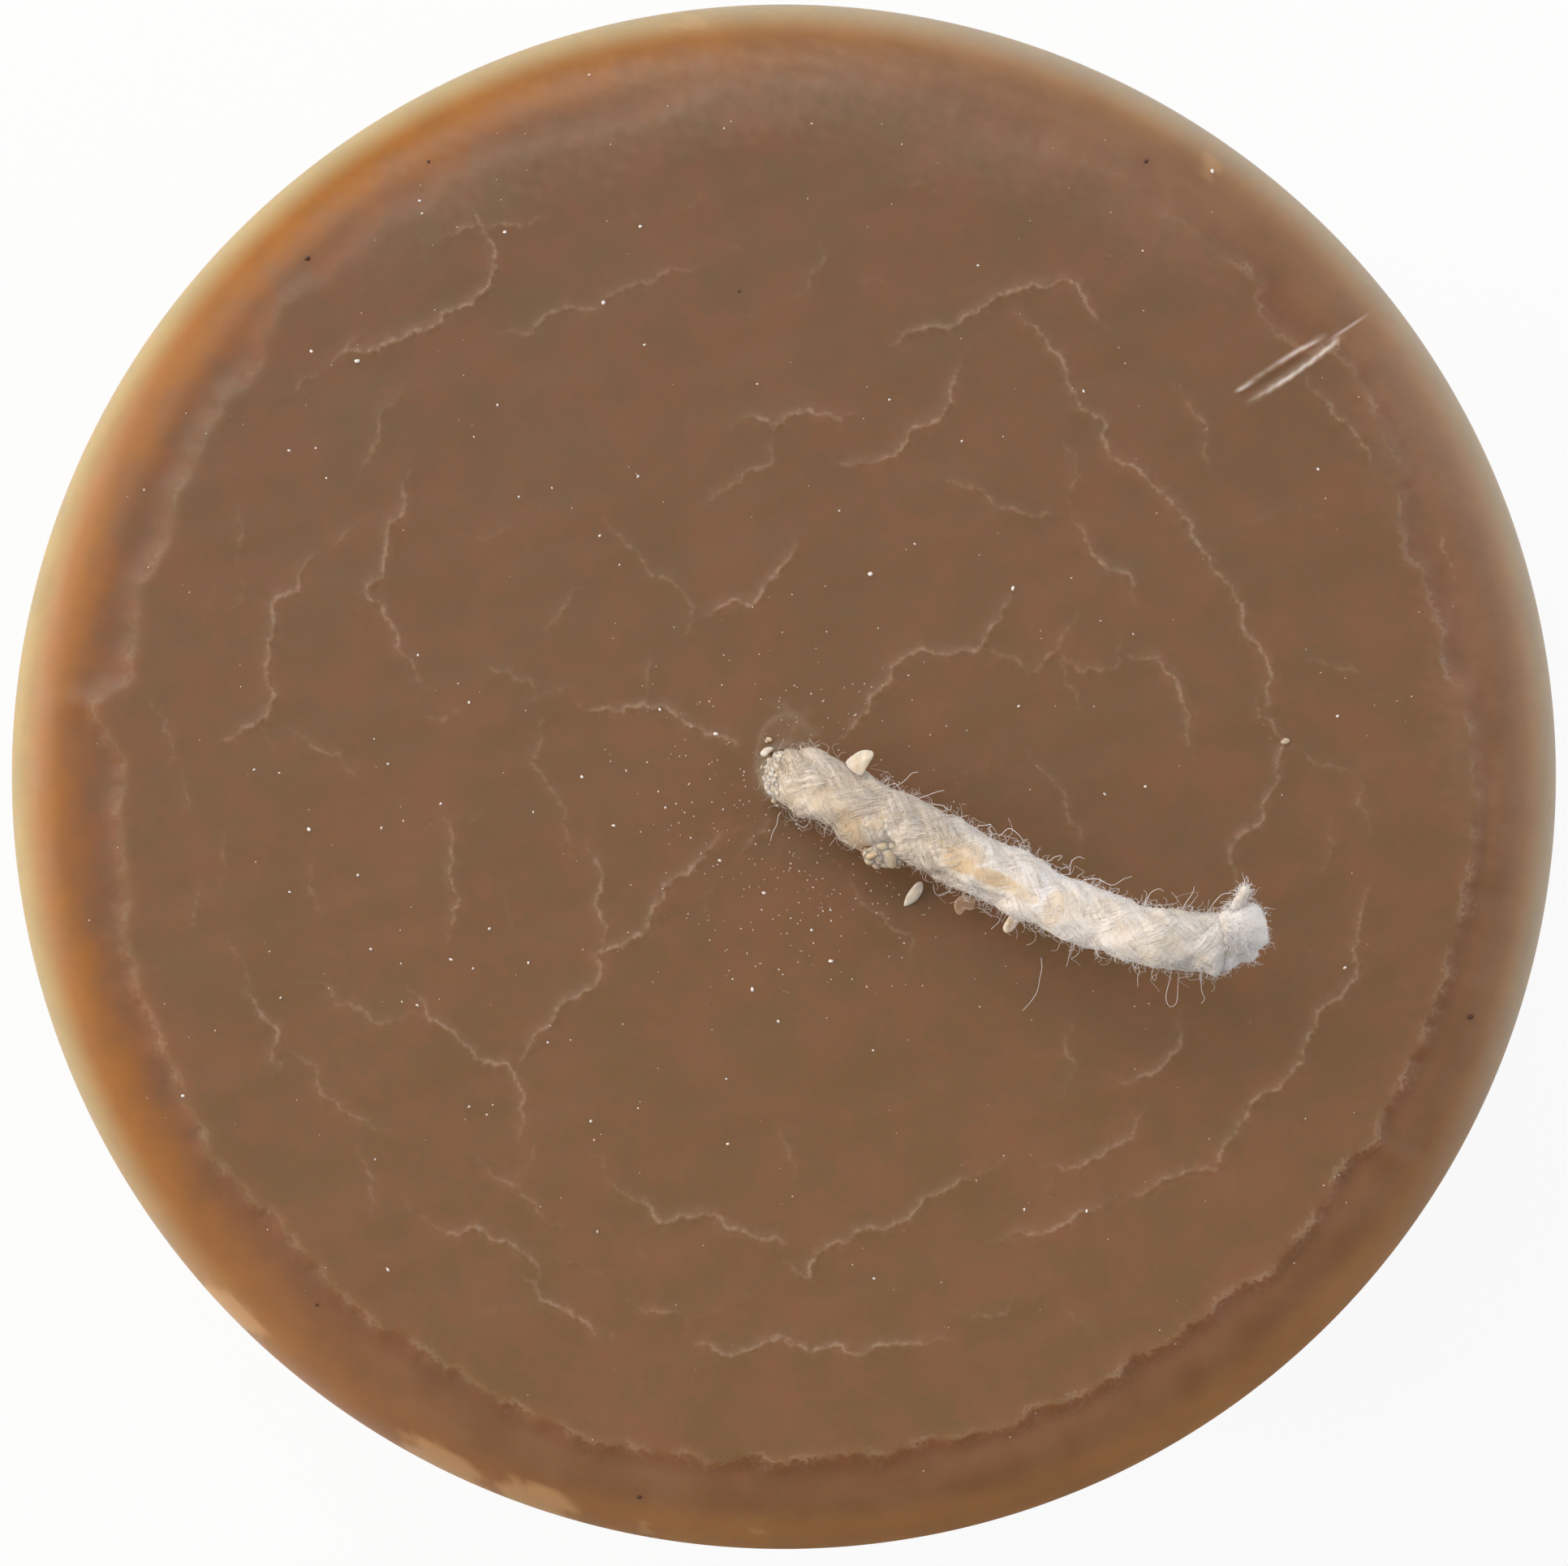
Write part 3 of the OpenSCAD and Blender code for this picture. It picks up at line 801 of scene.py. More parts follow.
# distances of the rows of points from each line, and the radii of those round the wick
SEAM_ROWS = (0, 0.1, -0.1, 0.22, -0.22, 0.38, -0.4, 0.6)
WRINKLE_ROWS = (0, 0.11, -0.11, 0.26, -0.26)
FILM_ROWS = (0.82, 0.91, 1.0, 1.09, 1.18)
ROOT_ROWS = (1.17, 1.24, 1.32, 1.42, 1.54, 1.68, 1.84)


def ring_of(radius, count):
    """Points at equal angles on a circle."""
    a = turns_of(count)
    return np.column_stack((radius * np.cos(a), radius * np.sin(a)))


def lattice_points(radius, gap):
    """Points of a triangular lattice inside a circle."""
    rows = np.arange(-radius, radius, gap * math.sqrt(0.75))
    columns = np.arange(-radius, radius, gap)
    x, y = np.meshgrid(columns, rows)
    x = x + (np.arange(len(rows)) % 2 * gap / 2)[:, None]
    p = np.column_stack((x.ravel(), y.ravel()))
    return p[np.hypot(p[:, 0], p[:, 1]) < radius]


def square_codes(spots, gap):
    """One whole number for the square of side gap that each spot lies in."""
    column, row = np.floor(spots / gap).astype(int).T + SQUARES
    return column * 2 * SQUARES + row


def thinned(keep, others, gap):
    """others without the points that share a square of side gap, or a next one, with keep."""
    taken = square_codes(keep, gap)
    near = [taken + i * 2 * SQUARES + j for i in (-1, 0, 1) for j in (-1, 0, 1)]
    return others[~np.isin(square_codes(others, gap), np.concatenate(near))]


def one_per_square(points, gap):
    """The first point in each square of side gap."""
    _, first = np.unique(np.floor(points / gap).astype(int), axis=0, return_index=True)
    return points[np.sort(first)]


def joined(points, hole_r, hole_at=(0.0, 0.0)):
    """Delaunay triangles over flat points, counter-clockwise, with the round hole left open."""
    flat = np.asarray(points, float)
    made = delaunay_2d_cdt([Vector(p) for p in flat.tolist()], [], [], 0, 1e-7)
    spots = np.array([tuple(v) for v in made[0]])
    faces = np.array(made[2])
    middle = spots[faces].mean(axis=1) - hole_at
    faces = faces[np.hypot(middle[:, 0], middle[:, 1]) > hole_r * math.cos(math.pi / HOLE_ROUND)]
    a, b, c = (spots[faces[:, k]] for k in range(3))
    clockwise = (b - a)[:, 0] * (c - a)[:, 1] - (b - a)[:, 1] * (c - a)[:, 0] < 0
    faces[clockwise] = faces[clockwise][:, ::-1]
    return spots, faces


rows = [beside(seam, g) for g in SEAM_ROWS]
rows += [beside(w, g) for g in WRINKLE_ROWS for w in wrinkles]
scratch_u, scratch_v = np.meshgrid(np.arange(-0.08, 1.06, 0.012), np.arange(-0.63, 0.64, 0.07), indexing="ij")
scratch_grid = (SCRATCH_FROM + scratch_u.reshape(-1, 1) * (SCRATCH_TO - SCRATCH_FROM)
                + scratch_v.reshape(-1, 1) * SCRATCH_ACROSS)
root_rings = [ROOT_AT + ring_of(r, HOLE_ROUND) for r in ROOT_ROWS]
close = one_per_square(np.vstack(root_rings + [scratch_grid] + rows), 0.055)
close = close[(np.hypot(*(close - ROOT_AT).T) > HOLE_R + 0.03) & (np.hypot(*close.T) < FLAT_R - 0.08)]
film_rows = np.vstack([to_mm(on_film(share, turns_of(FILM_ROUND))) for share in FILM_ROWS])
film_rows = thinned(close, film_rows[np.hypot(*(film_rows - ROOT_AT).T) > 1.25], 0.055)
close = np.vstack((close, film_rows))
wide = lattice_points(FLAT_R - 0.25, LATTICE)
wide = thinned(close, wide[np.hypot(*(wide - ROOT_AT).T) > 1.9], 0.14)
flat_points = np.vstack((ring_of(FLAT_R, ROUND), ROOT_AT + ring_of(HOLE_R, HOLE_ROUND), close, wide))
top_flat, top_faces = joined(flat_points, HOLE_R, ROOT_AT)
top_height, top_values = top_surface(top_flat)
top_points = np.column_stack((top_flat, TOP_Z + top_height))
print("top:", len(top_flat), "points, height from", round(top_height.min(), 3),
      "to", round(top_height.max(), 3))

# %% Shoulder, side, foot, base and bore
FOOT_R = 1.0
BORE_R = 1.37
RIM_Z = TOP_Z - POUR_T
SHRINK = 0.05


def turned(profile, count):
    """A profile of radius and height carried round the axis, row by row."""
    a = turns_of(count)
    r, z = np.asarray(profile)[:, :1], np.asarray(profile)[:, 1:]
    return np.stack((r * np.cos(a), r * np.sin(a), z + 0 * a), axis=-1)


bend = np.linspace(0, np.pi / 2, 19)
shoulder = np.column_stack((FLAT_R + SHOULDER_R * np.sin(bend), RIM_Z - SHOULDER_R * (1 - np.cos(bend))))
side_z = np.linspace(RIM_Z - SHOULDER_R, FOOT_R, 34)[1:]
side = np.column_stack((np.full(len(side_z), BODY_R), side_z))
foot_bend = np.linspace(0, np.pi / 2, 7)[1:]
foot = np.column_stack((BODY_R - FOOT_R * (1 - np.cos(foot_bend)), FOOT_R * (1 - np.sin(foot_bend))))
skin = turned(np.vstack((shoulder, side, foot)), ROUND)
# the cast side has drawn in a little, and unevenly
turn, skin_z = np.arctan2(skin[..., 1], skin[..., 0]), skin[..., 2]
shrink = SHRINK * (1 - np.sin(3 * turn + skin_z / 17) * np.sin(2 * turn - skin_z / 9)) / 2
shrink *= eased(RIM_Z - skin_z, 1.0, 6.0) * eased(skin_z, 0.8, 4.0)
skin[..., :2] *= 1 - (shrink / BODY_R)[..., None]
skin_part = (skin.reshape(-1, 3), lattice(len(skin), ROUND)[:, ::-1])
base_lattice = lattice_points(BODY_R - FOOT_R - 1.0, 2.2)
base_rings = [ring_of(r, n) for r, n in ((BODY_R - FOOT_R, ROUND), (BORE_R, HOLE_ROUND), (2.2, 60))]
base_rings.append(base_lattice[np.hypot(*base_lattice.T) > 3.2])
base_flat, base_faces = joined(np.vstack(base_rings), BORE_R)
base_part = (np.column_stack((base_flat, np.zeros(len(base_flat)))), base_faces[:, ::-1])
bore_profile = [(HOLE_R, TOP_Z + MENISCUS_H), (HOLE_R, TOP_Z - 0.4), (BORE_R, TOP_Z - 1.4), (BORE_R, 50.0),
                (BORE_R, 0.0)]
bore = turned(bore_profile, HOLE_ROUND)
bore[:2, :, :2] += ROOT_AT
bore_part = (bore.reshape(-1, 3), lattice(len(bore_profile), HOLE_ROUND))
print("side", len(skin_part[0]), "points, base", len(base_flat), "points, bore", len(bore_part[0]), "points")

# %% One closed body


def welded(points, triangles, grain=1e-3):
    """Points that lie on the same spot become one. Returns the kept points, which of the old
    ones each is, and the triangles, without any that has shrunk to a line."""
    spots = np.round(points / grain).astype(np.int64)
    _, kept, new = np.unique(spots, axis=0, return_index=True, return_inverse=True)
    faces = new.ravel()[triangles]
    whole = (faces[:, 0] != faces[:, 1]) & (faces[:, 1] != faces[:, 2]) & (faces[:, 2] != faces[:, 0])
    return points[kept], kept, faces[whole]


bore_part[0][:HOLE_ROUND, 2] = TOP_Z + top_surface(ROOT_AT + ring_of(HOLE_R, HOLE_ROUND))[0]
rim_lift = top_surface(ring_of(FLAT_R, ROUND))[0] + POUR_T
down_the_bend = (1 - eased(np.arange(len(bend)), 0, len(bend) - 1))[:, None]
skin_part[0].reshape(len(skin), ROUND, 3)[:len(bend), :, 2] += rim_lift * down_the_bend
all_points, all_faces = stacked([(top_points, top_faces), skin_part, base_part, bore_part])
rest_of_it = len(all_points) - len(top_points)
away_from_all = {"edge_mm": -REACH, "wrinkle_mm": REACH}
wax_values = {key: np.concatenate((data, np.full(rest_of_it, away_from_all.get(key, 0.0))))
              for key, data in top_values.items()}

# Bloom and frost have frayed borders: the ovals are read a few pixels away from each point.
frayed = 14 * ripples(all_points[:, 0], all_points[:, 1], 1.1, seed=40)[:, None]
seen_points = seen_at(all_points)
film_x, film_y, *film_size = ROOT_FILM
film_at = np.hypot(*((seen_points - (film_x, film_y)) / film_size).T)
film = 0.20 * (1 - eased(film_at, 0.9, 1.05))
film += 0.65 * bump_of(film_at - 1, 0.075) * eased(film_x - seen_points[:, 0], -36, -10)
bloom = np.maximum(in_ovals(seen_points + frayed, BLOOM, 0.85), film)
frost = in_ovals(seen_points + 0.3 * frayed, FROST, 0.22)
wax_values["bloom"] = bloom * (all_points[:, 2] > TOP_Z - 3)
wax_values["frost"] = frost * eased(all_points[:, 2], TOP_Z - 4.6, TOP_Z - 3.0)
wax_points, kept, wax_faces = welded(all_points, all_faces)
wax_values = {key: data[kept] for key, data in wax_values.items()}
print("wax volume", round(solid_size(wax_points, wax_faces) / 1000, 1), "cubic centimetres")
edges = np.sort(np.vstack((wax_faces[:, :2], wax_faces[:, 1:], wax_faces[:, ::2])), axis=1)
_, shared = np.unique(edges, axis=0, return_counts=True)
print("edges not shared by two faces:", int((shared != 2).sum()))

# %% [markdown]
# ## Finish of the wax
# This is a dyed paraffin and stearin wax: a dense, slightly cloudy solid with a satin skin. Light
# goes a few millimetres into it and comes out again, which softens its shadows and makes its
# rim glow where a window stands behind it, so it gets subsurface scattering, and the glow at the
# left of the rim is painted into its colour as well. Red light travels furthest in it and blue
# hardly at all, and that is why the glow is amber.
# Torn and bent wax turns pale, because it fills with tiny cracks: that is the colour of the
# wrinkles and of the second pour's edge.

# %% Wax: where a spot lies
WAX_IOR = 1.44
GLOW_MM = (4.0, 1.7, 0.5)
wax_material, tree = new_material("dyed_paraffin_satin")
place = coordinates(tree)
cloud = noise_of(tree, place, 2.2, detail=1, rough=0.55)
grain = noise_of(tree, place, 0.45, detail=2, rough=0.6)
fray = noise_of(tree, place, 0.26, detail=1, rough=0.7)
mottle = worked(tree, "ADD", worked(tree, "MULTIPLY", cloud, 0.62), worked(tree, "MULTIPLY", grain, 0.38))
parts = add(tree, "ShaderNodeSeparateXYZ", None, {0: place})
level = on_vectors(tree, "MULTIPLY", place, (1, 1, 0))
from_axis = on_vectors(tree, "LENGTH", level)
way_out = on_vectors(tree, "NORMALIZE", level)


def by_depth(tree, none_at, full_at):
    """0 where the wax lies none_at mm under the top, eased to 1 where it lies full_at mm under."""
    return ranged(tree, parts.outputs["Z"], (TOP_Z - none_at) * MM, (TOP_Z - full_at) * MM)


def mottled(tree, first, second, low=0.32, high=0.68):
    """Two close colours in clouds, as dyed wax has."""
    return blended(tree, ranged(tree, mottle, low, high), first, second)


# %% Wax: both pours, the side and the rim
body_tint = mottled(tree, "#7e5e37", "#845a38", 0.30, 0.70)
far_end = ranged(tree, parts.outputs["Y"], -30 * MM, 32 * MM)
body_tint = blended(tree, far_end, body_tint, "#f2eef0", "MULTIPLY")
edge_stray = ranged(tree, fray, 0.3, 0.7, -0.15, 0.15, smooth=False)
edge_at = worked(tree, "ADD", attribute(tree, "edge_mm"), edge_stray)
first_pour = ranged(tree, edge_at, 0.15, -0.35)
tint = blended(tree, first_pour, body_tint, mottled(tree, "#7f5732", "#845433"))
tint = blended(tree, by_depth(tree, 4, 16), tint, mottled(tree, "#745637", "#795438"))
# The rim has painted light in its colour: an amber glow at the left, where the low lamp shines
# through the wax, and a paler outer edge all round except on the -y side, which stays dark as in
# shade. The lower right is painted lit from below.
painted_glow_left = ranged(tree, facing(tree, way_out, 158), 0.0, 0.85)
painted_lit_side = ranged(tree, facing(tree, way_out, 95), -0.8, -0.25)
lit_below = ranged(tree, facing(tree, way_out, 291), 0.68, 0.93)
# painted light: the outer rim is lighter except on the -y side, and its lower right is painted lit from below
outer_rim = blended(tree, painted_lit_side, blended(tree, lit_below, "#8b6038", "#a07345"), "#9c744b")
rim_with_painted_light = blended(tree, ranged(tree, from_axis, 32.5 * MM, 34.1 * MM), "#856140", outer_rim)
# painted light: an amber glow on the rim at the left, towards the low lamp
rim_with_painted_glow = blended(tree, painted_glow_left, rim_with_painted_light, "#945e0c")
rim_cloud = ranged(tree, cloud, 0.3, 0.7, -0.5 * MM, 0.5 * MM, smooth=False)
rim_at = worked(tree, "ADD", from_axis, rim_cloud)
rim_share = ranged(tree, rim_at, 30.4 * MM, 33.4 * MM)
tint = blended(tree, worked(tree, "MULTIPLY", rim_share, by_depth(tree, 11, 2.5)), tint, rim_with_painted_glow)
# painted light: a pale outer edge on all but the -y side, warmer at the left
painted_pale_edge = ranged(tree, from_axis, 33.2 * MM, 34.7 * MM)
painted_pale_edge = worked(tree, "MULTIPLY", painted_pale_edge, by_depth(tree, 8, 2), painted_lit_side, 0.92)
tint = blended(tree, painted_pale_edge, tint, blended(tree, painted_glow_left, "#a6957a", "#a8986f"))
grained = add(tree, "ShaderNodeHueSaturation", None, {
    "Value": ranged(tree, mottle, 0.35, 0.65, 0.955, 1.045), "Color": tint}).outputs[0]
print("wax up to the rim:", len(tree.nodes), "nodes")

# %% Wax: pale marks of the torn edge, the wrinkles and the bloom
edge_core = worked(tree, "MULTIPLY", ranged(tree, edge_at, -0.10, 0.04),
                   ranged(tree, edge_at, 0.26, 0.08), 0.26)
edge_glow = worked(tree, "MULTIPLY", ranged(tree, edge_at, -0.8, 0.0), ranged(tree, edge_at, 0.7, 0.0),
                   ranged(tree, fray, 0.42, 0.62, 0.4, 1.6), 0.09)
edge_pale = worked(tree, "MULTIPLY", worked(tree, "ADD", edge_core, edge_glow), attribute(tree, "torn"))
wrinkle_mm = attribute(tree, "wrinkle_mm")
wrinkle_stray = ranged(tree, fray, 0.3, 0.7, -0.06, 0.08, smooth=False)
wrinkle_core = ranged(tree, worked(tree, "ADD", wrinkle_mm, wrinkle_stray), 0.15, 0.0, 0.0, 0.23)
wrinkle_pale = worked(tree, "ADD", wrinkle_core, ranged(tree, wrinkle_mm, 0.6, 0.0, 0.0, 0.06))
wrinkle_pale = worked(tree, "MULTIPLY", wrinkle_pale, attribute(tree, "wrinkle_share"),
                      ranged(tree, grain, 0.38, 0.6, 0.4, 1.2))
bloom_pale = worked(tree, "MULTIPLY", attribute(tree, "bloom"), ranged(tree, grain, 0.3, 0.7, 0.22, 0.30))
pale = worked(tree, "MAXIMUM", edge_pale, wrinkle_pale, bloom_pale)
wax_colour = blended(tree, pale, grained, "#c4ab95")
print("with its pale marks:", len(tree.nodes), "nodes")

# %% Wax: the scratch with its thin tail, the frost, and the shader
tail_size = SCRATCH_LONG * MM
from_scratch = on_vectors(tree, "SUBTRACT", place, (*(SCRATCH_FROM * MM), 0))
tail_run, tail_off = (on_vectors(tree, "DOT_PRODUCT", from_scratch, (*way, 0))
                      for way in (SCRATCH_WAY, SCRATCH_ACROSS))
tail = worked(tree, "MULTIPLY", ranged(tree, tail_run, 0.62 * tail_size, 0.78 * tail_size),
              ranged(tree, tail_run, 1.03 * tail_size, 0.86 * tail_size),
              ranged(tree, worked(tree, "ABSOLUTE", tail_off), 0.11 * MM, 0.02 * MM),
              by_depth(tree, 5, 3), 0.6)
lips_pale = worked(tree, "MAXIMUM", attribute(tree, "lip"), tail)
wax_colour = blended(tree, worked(tree, "MULTIPLY", lips_pale, 0.72), wax_colour, "#dccbc4")
frost_share = worked(tree, "MULTIPLY", attribute(tree, "frost"), 0.55)
wax_colour = blended(tree, frost_share, wax_colour, "#cfa878")
finished(tree, "ShaderNodeBsdfPrincipled", {"subsurface_method": "RANDOM_WALK"}, {
    "Base Color": wax_colour, "Roughness": ranged(tree, cloud, 0.3, 0.7, 0.40, 0.48), "IOR": WAX_IOR,
    "Subsurface Weight": 1.0, "Subsurface Radius": GLOW_MM, "Subsurface Scale": MM})

poured_wax = piece_from("poured_wax", wax_points, wax_faces, wax_material, wax_values)
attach(poured_wax, "root")
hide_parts("wax_body")

# %% [markdown]
# ## The braided cotton wick
# A wick like this is plaited from eight thin strands of loosely spun cotton, four winding each
# way, and every strand passes over one and under one of the other way. It stands stiffly in the
# wax and lies over to one side, because some wax has soaked into it.
#
# Eight separate strands would be true to the real thing but would never touch each other
# exactly, and the gaps would show. So the wick is one closed skin round a bent line, and the
# braid is its relief: radius = plain radius - groove depth * (1 - height of the braid) plus the
# fine ridges of the yarns in each strand. The skin stores where it lies in its yarn, so that the
# finish can draw fibres that run along the strands.

# %% The wick's line
WICK_R = 1.35
ROOT_R = 1.17
LEAN = [
    (0, 0, -1.5), (0.15, 0, -0.7), (0.30, 0, 0), (0.38, 0, 0.7), (0.66, -0.06, 1.5), (1.45, -0.34, 2.25),
    (2.78, -0.98, 2.85), (4.28, -1.64, 3.2), (5.72, -2.43, 3.55), (7.15, -3.18, 4.0), (8.57, -3.84, 4.55),
    (9.97, -4.47, 5.15), (11.38, -5.24, 5.8), (12.78, -5.91, 6.4), (14.2, -6.42, 7.0), (15.6, -6.85, 7.6),
    (17.0, -7.14, 8.15), (18.35, -7.2, 8.65), (19.3, -7.12, 9.0), (19.9, -6.98, 9.2),
]
LEAN_GUIDE = (0.34, 0.94, 0.0)
END_SLANT = 0.85
SKIN_STEP = 0.046
SKIN_SIDES = 152

lean = smooth_path(LEAN, 12) + (0, 0, TOP_Z)
skin_rows = int(lengths_along(lean)[-1] / SKIN_STEP)
shown_path = at_equal_steps(lean, skin_rows)
bore_path = np.column_stack((np.zeros((6, 2)), [0.0, 30.0, 60.0, 85.0, 95.0, 97.5]))
wick_path = np.vstack((bore_path, shown_path))
along_mm = lengths_along(wick_path) - TOP_Z
wick_end = along_mm[-1]
print("the wick stands out of the wax for", round(wick_end, 1), "mm of its length")

# %% Braid relief
STRANDS = 4
LAY = 10.0
STRAND_LIFT = 0.45
GROOVE = 0.22
YARNS = 5
YARN_RIDGE = 0.042


def round_top(x):
    """The round back of a strand: sqrt(1 - 4 d^2), where d is the distance to the nearest whole."""
    return np.sqrt(np.clip(1 - 4 * (x - np.round(x)) ** 2, 0, None))


def braid(turn, s):
    """The braid at an angle and a distance along the wick. Returns its height from 0 to 1, the
    place across the strand on top, from -0.5 to 0.5, and which way that strand winds."""
    u = STRANDS * (turn / (2 * np.pi) + s / LAY)
    v = STRANDS * (turn / (2 * np.pi) - s / LAY)
    high_u = round_top(u) + STRAND_LIFT * np.cos(np.pi * (v - np.round(u)))
    high_v = round_top(v) - STRAND_LIFT * np.cos(np.pi * (u - np.round(v)))
    on_top = high_u > high_v
    height = np.clip(np.maximum(high_u, high_v), 0, None) / (1 + STRAND_LIFT)
    return height, np.where(on_top, u - np.round(u), v - np.round(v)), on_top


# %% Where wax has soaked the cotton, as seen: centre, half length, half width, turn and strength
SOAKED = {
    "peach": (1046, 1010, 19, 13, -34, 0.55), "below_peach": (1054, 1031, 22, 13, -35, 0.7),
    "amber_left": (1182, 1063, 23, 11, -25, 0.85), "amber_right": (1226, 1083, 30, 10, -22, 0.85),
    "yellow_above": (1186, 1046, 34, 13, -24, 0.6), "tan_low": (1262, 1103, 20, 9, -20, 0.5),
    "tan_band": (1298, 1118, 13, 25, -15, 0.5), "root_crease": (961, 943, 4, 9, 25, 0.6),
    # at the tip's crease the soaked colour is painted shade in the hollow of the cut end
    "by_the_root": (1014, 984, 28, 12, -40, 0.2), "shade_in_tip_crease": (1521, 1170, 7, 18, 15, 0.3),
}
DENTS = {
    "root_crease": (960, 943, 5, 11, 20, 0.16), "front_strand": (955, 968, 3, 16, 0, 0.10),
    "behind_it": (1003, 985, 5, 24, -40, 0.06), "under_facet": (1098, 1030, 9, 18, -30, 0.14),
    "lens_edge": (1196, 1094, 46, 4, -22, 0.10), "lens_top": (1180, 1051, 26, 3, -20, 0.06),
}
SWELLS = {
    "front_low": (1008, 1001, 30, 13, -22, 0.22), "below_peach": (1052, 1031, 26, 14, -38, 0.40),
    "facet": (1082, 1024, 22, 12, -20, 0.10), "by_the_band": (1246, 1126, 16, 9, -30, 0.2),
}
print(len(SOAKED), "soaked spots,", len(DENTS), "dents and", len(SWELLS), "swells")

# %% The wick's skin
SEAT_GAP = 0.01
THINNER_OUT = 0.08
s_grid, a_grid = np.meshgrid(along_mm, turns_of(SKIN_SIDES), indexing="ij")
height, across, winds_right = braid(a_grid, s_grid)
ahead = unit(np.gradient(wick_path, axis=0))
side_way = unit(np.cross(LEAN_GUIDE, ahead))
up_way = np.cross(ahead, side_way)
outward = np.cos(a_grid)[..., None] * side_way[:, None] + np.sin(a_grid)[..., None] * up_way[:, None]
round_mm, ring_x, ring_y = WICK_R * a_grid, WICK_R * np.cos(a_grid), WICK_R * np.sin(a_grid)

# Soaked spots, dents and swells lie where the photograph shows them, so only on the upper side.
skin_seen = seen_at(wick_path[:, None] + WICK_R * outward)
on_view = (outward[..., 2] > -0.2) * eased(s_grid, 0.2, 1.0)
soak = in_ovals(skin_seen, SOAKED, 0.2) * on_view
dented = in_ovals(skin_seen, DENTS, 0.5) * on_view * eased(outward[..., 2], 0.15, 0.45)
swollen = in_ovals(skin_seen, SWELLS, 0.6) * eased(outward[..., 2], -0.7, -0.3) * (s_grid > 0.8)

# The plain round fills the bore, is drawn in at the root and swells to full size outside.
plain = BORE_R - SEAT_GAP - (BORE_R - SEAT_GAP - ROOT_R) * eased(s_grid, -1.6, -0.5)
plain += (WICK_R - ROOT_R) * eased(s_grid, 0.4, 2.2) - THINNER_OUT * eased(s_grid, 12.0, 14.5)

# Grooves and yarns soften where wax has soaked in, and along the far half.
groove_deep = GROOVE * (1 - 0.82 * eased(s_grid, 10.0, 15.0)) * (1 - 0.45 * soak)
ridge = YARN_RIDGE * (1 - 0.75 * eased(s_grid, 9.0, 14.0)) * (1 - 0.8 * soak)
yarn = np.abs(np.cos(np.pi * (YARNS * across + 0.5 * YARNS % 1)))
drift = 0.08 * ripples(s_grid, round_mm, 2.6, seed=31)
drift += 0.035 * ripples(s_grid + ring_x, ring_y, 0.9, seed=32)
fluff = 0.012 * ripples(s_grid, round_mm, 0.22, seed=33, count=7)
relief = ridge * yarn - groove_deep * (1 - height) + drift
relief += fluff * (1 - soak) + 0.03 * soak - dented + swollen

# The skin closes round the end, which is cut at a slant.
left = np.clip((wick_end - s_grid) / 0.75, 0, 1)
close_end = np.sqrt(np.clip(1 - (1 - left) ** 2, 0.03, 1))
shows = eased(s_grid, 0.0, 0.6)
wick_radius = (plain + relief * shows) * close_end
cut_slant = END_SLANT * eased(s_grid, wick_end - 2.6, wick_end) * np.clip(-outward[..., 1], 0, 1)
wick_points = wick_path[:, None] + wick_radius[..., None] * outward - cut_slant[..., None] * ahead[:, None]
rows_n, sides_n = wick_radius.shape
skin_grid = wick_points
wick_points = np.vstack((wick_points.reshape(-1, 3), wick_path[:1], wick_path[-1:] - ahead[-1:] * 0.2))
wick_faces = capped(rows_n, sides_n)
strand_turn = np.where(winds_right, 1.0, -1.0)
yarn_place = np.stack((s_grid * 1.3, across * 2.1 + 7.0 * strand_turn, round_mm), axis=-1).reshape(-1, 3)
yarn_place = np.vstack((yarn_place, np.zeros((2, 3))))


def with_ends(grid, ends=(0.0, 0.0)):
    """The values of a grid of points, and of the two points that close it."""
    return np.concatenate((grid.ravel(), ends))


wick_values = {
    "groove": with_ends(np.clip(1 - height, 0, 1) * shows), "soak": with_ends(soak),
    "along": with_ends(s_grid, (0.0, wick_end)),
}
print("wick radius from", round(wick_radius.min(), 2), "to", round(wick_radius.max(), 2), "mm")

# %% [markdown]
# ## Finish of the cotton
# Natural cotton, neither bleached nor dyed, is a warm white. Each fibre is a clear ribbon a
# fiftieth of a millimetre wide, so a yarn of them is matt, with a soft sheen at its edges and
# some light inside it. Where candle wax has soaked in, the fibres no longer scatter light:
# the cotton turns honey-coloured, smoother and a little glossy.

# %% Cotton material
ROOT_TINT = (0.86, 0.845, 0.82, 1)
# from and to how many mm along the wick the next tint takes over: whiter and bluer further out is painted
# light, greyer at the end is painted shade
FURTHER_TINTS = (
    (0.5, 3.5, (1.0, 1.0, 1.0, 1)), (7.0, 13.0, (1.13, 1.21, 1.35, 1)), (19.6, 21.0, (0.92, 0.98, 1.08, 1)),
)
COTTON_IOR = 1.5
COTTON_GLOW_MM = (0.9, 0.8, 0.7)


def tint_and_painted_light_along_wick(tree):
    """A tint that makes cotton warmer and darker near the wax, whiter and bluer further out, which is painted
    light, and greyer at its end, which is painted shade.
    """
    along, tint = attribute(tree, "along"), ROOT_TINT
    for low, high, further in FURTHER_TINTS:
        tint = blended(tree, ranged(tree, along, low, high), tint, further)
    return tint


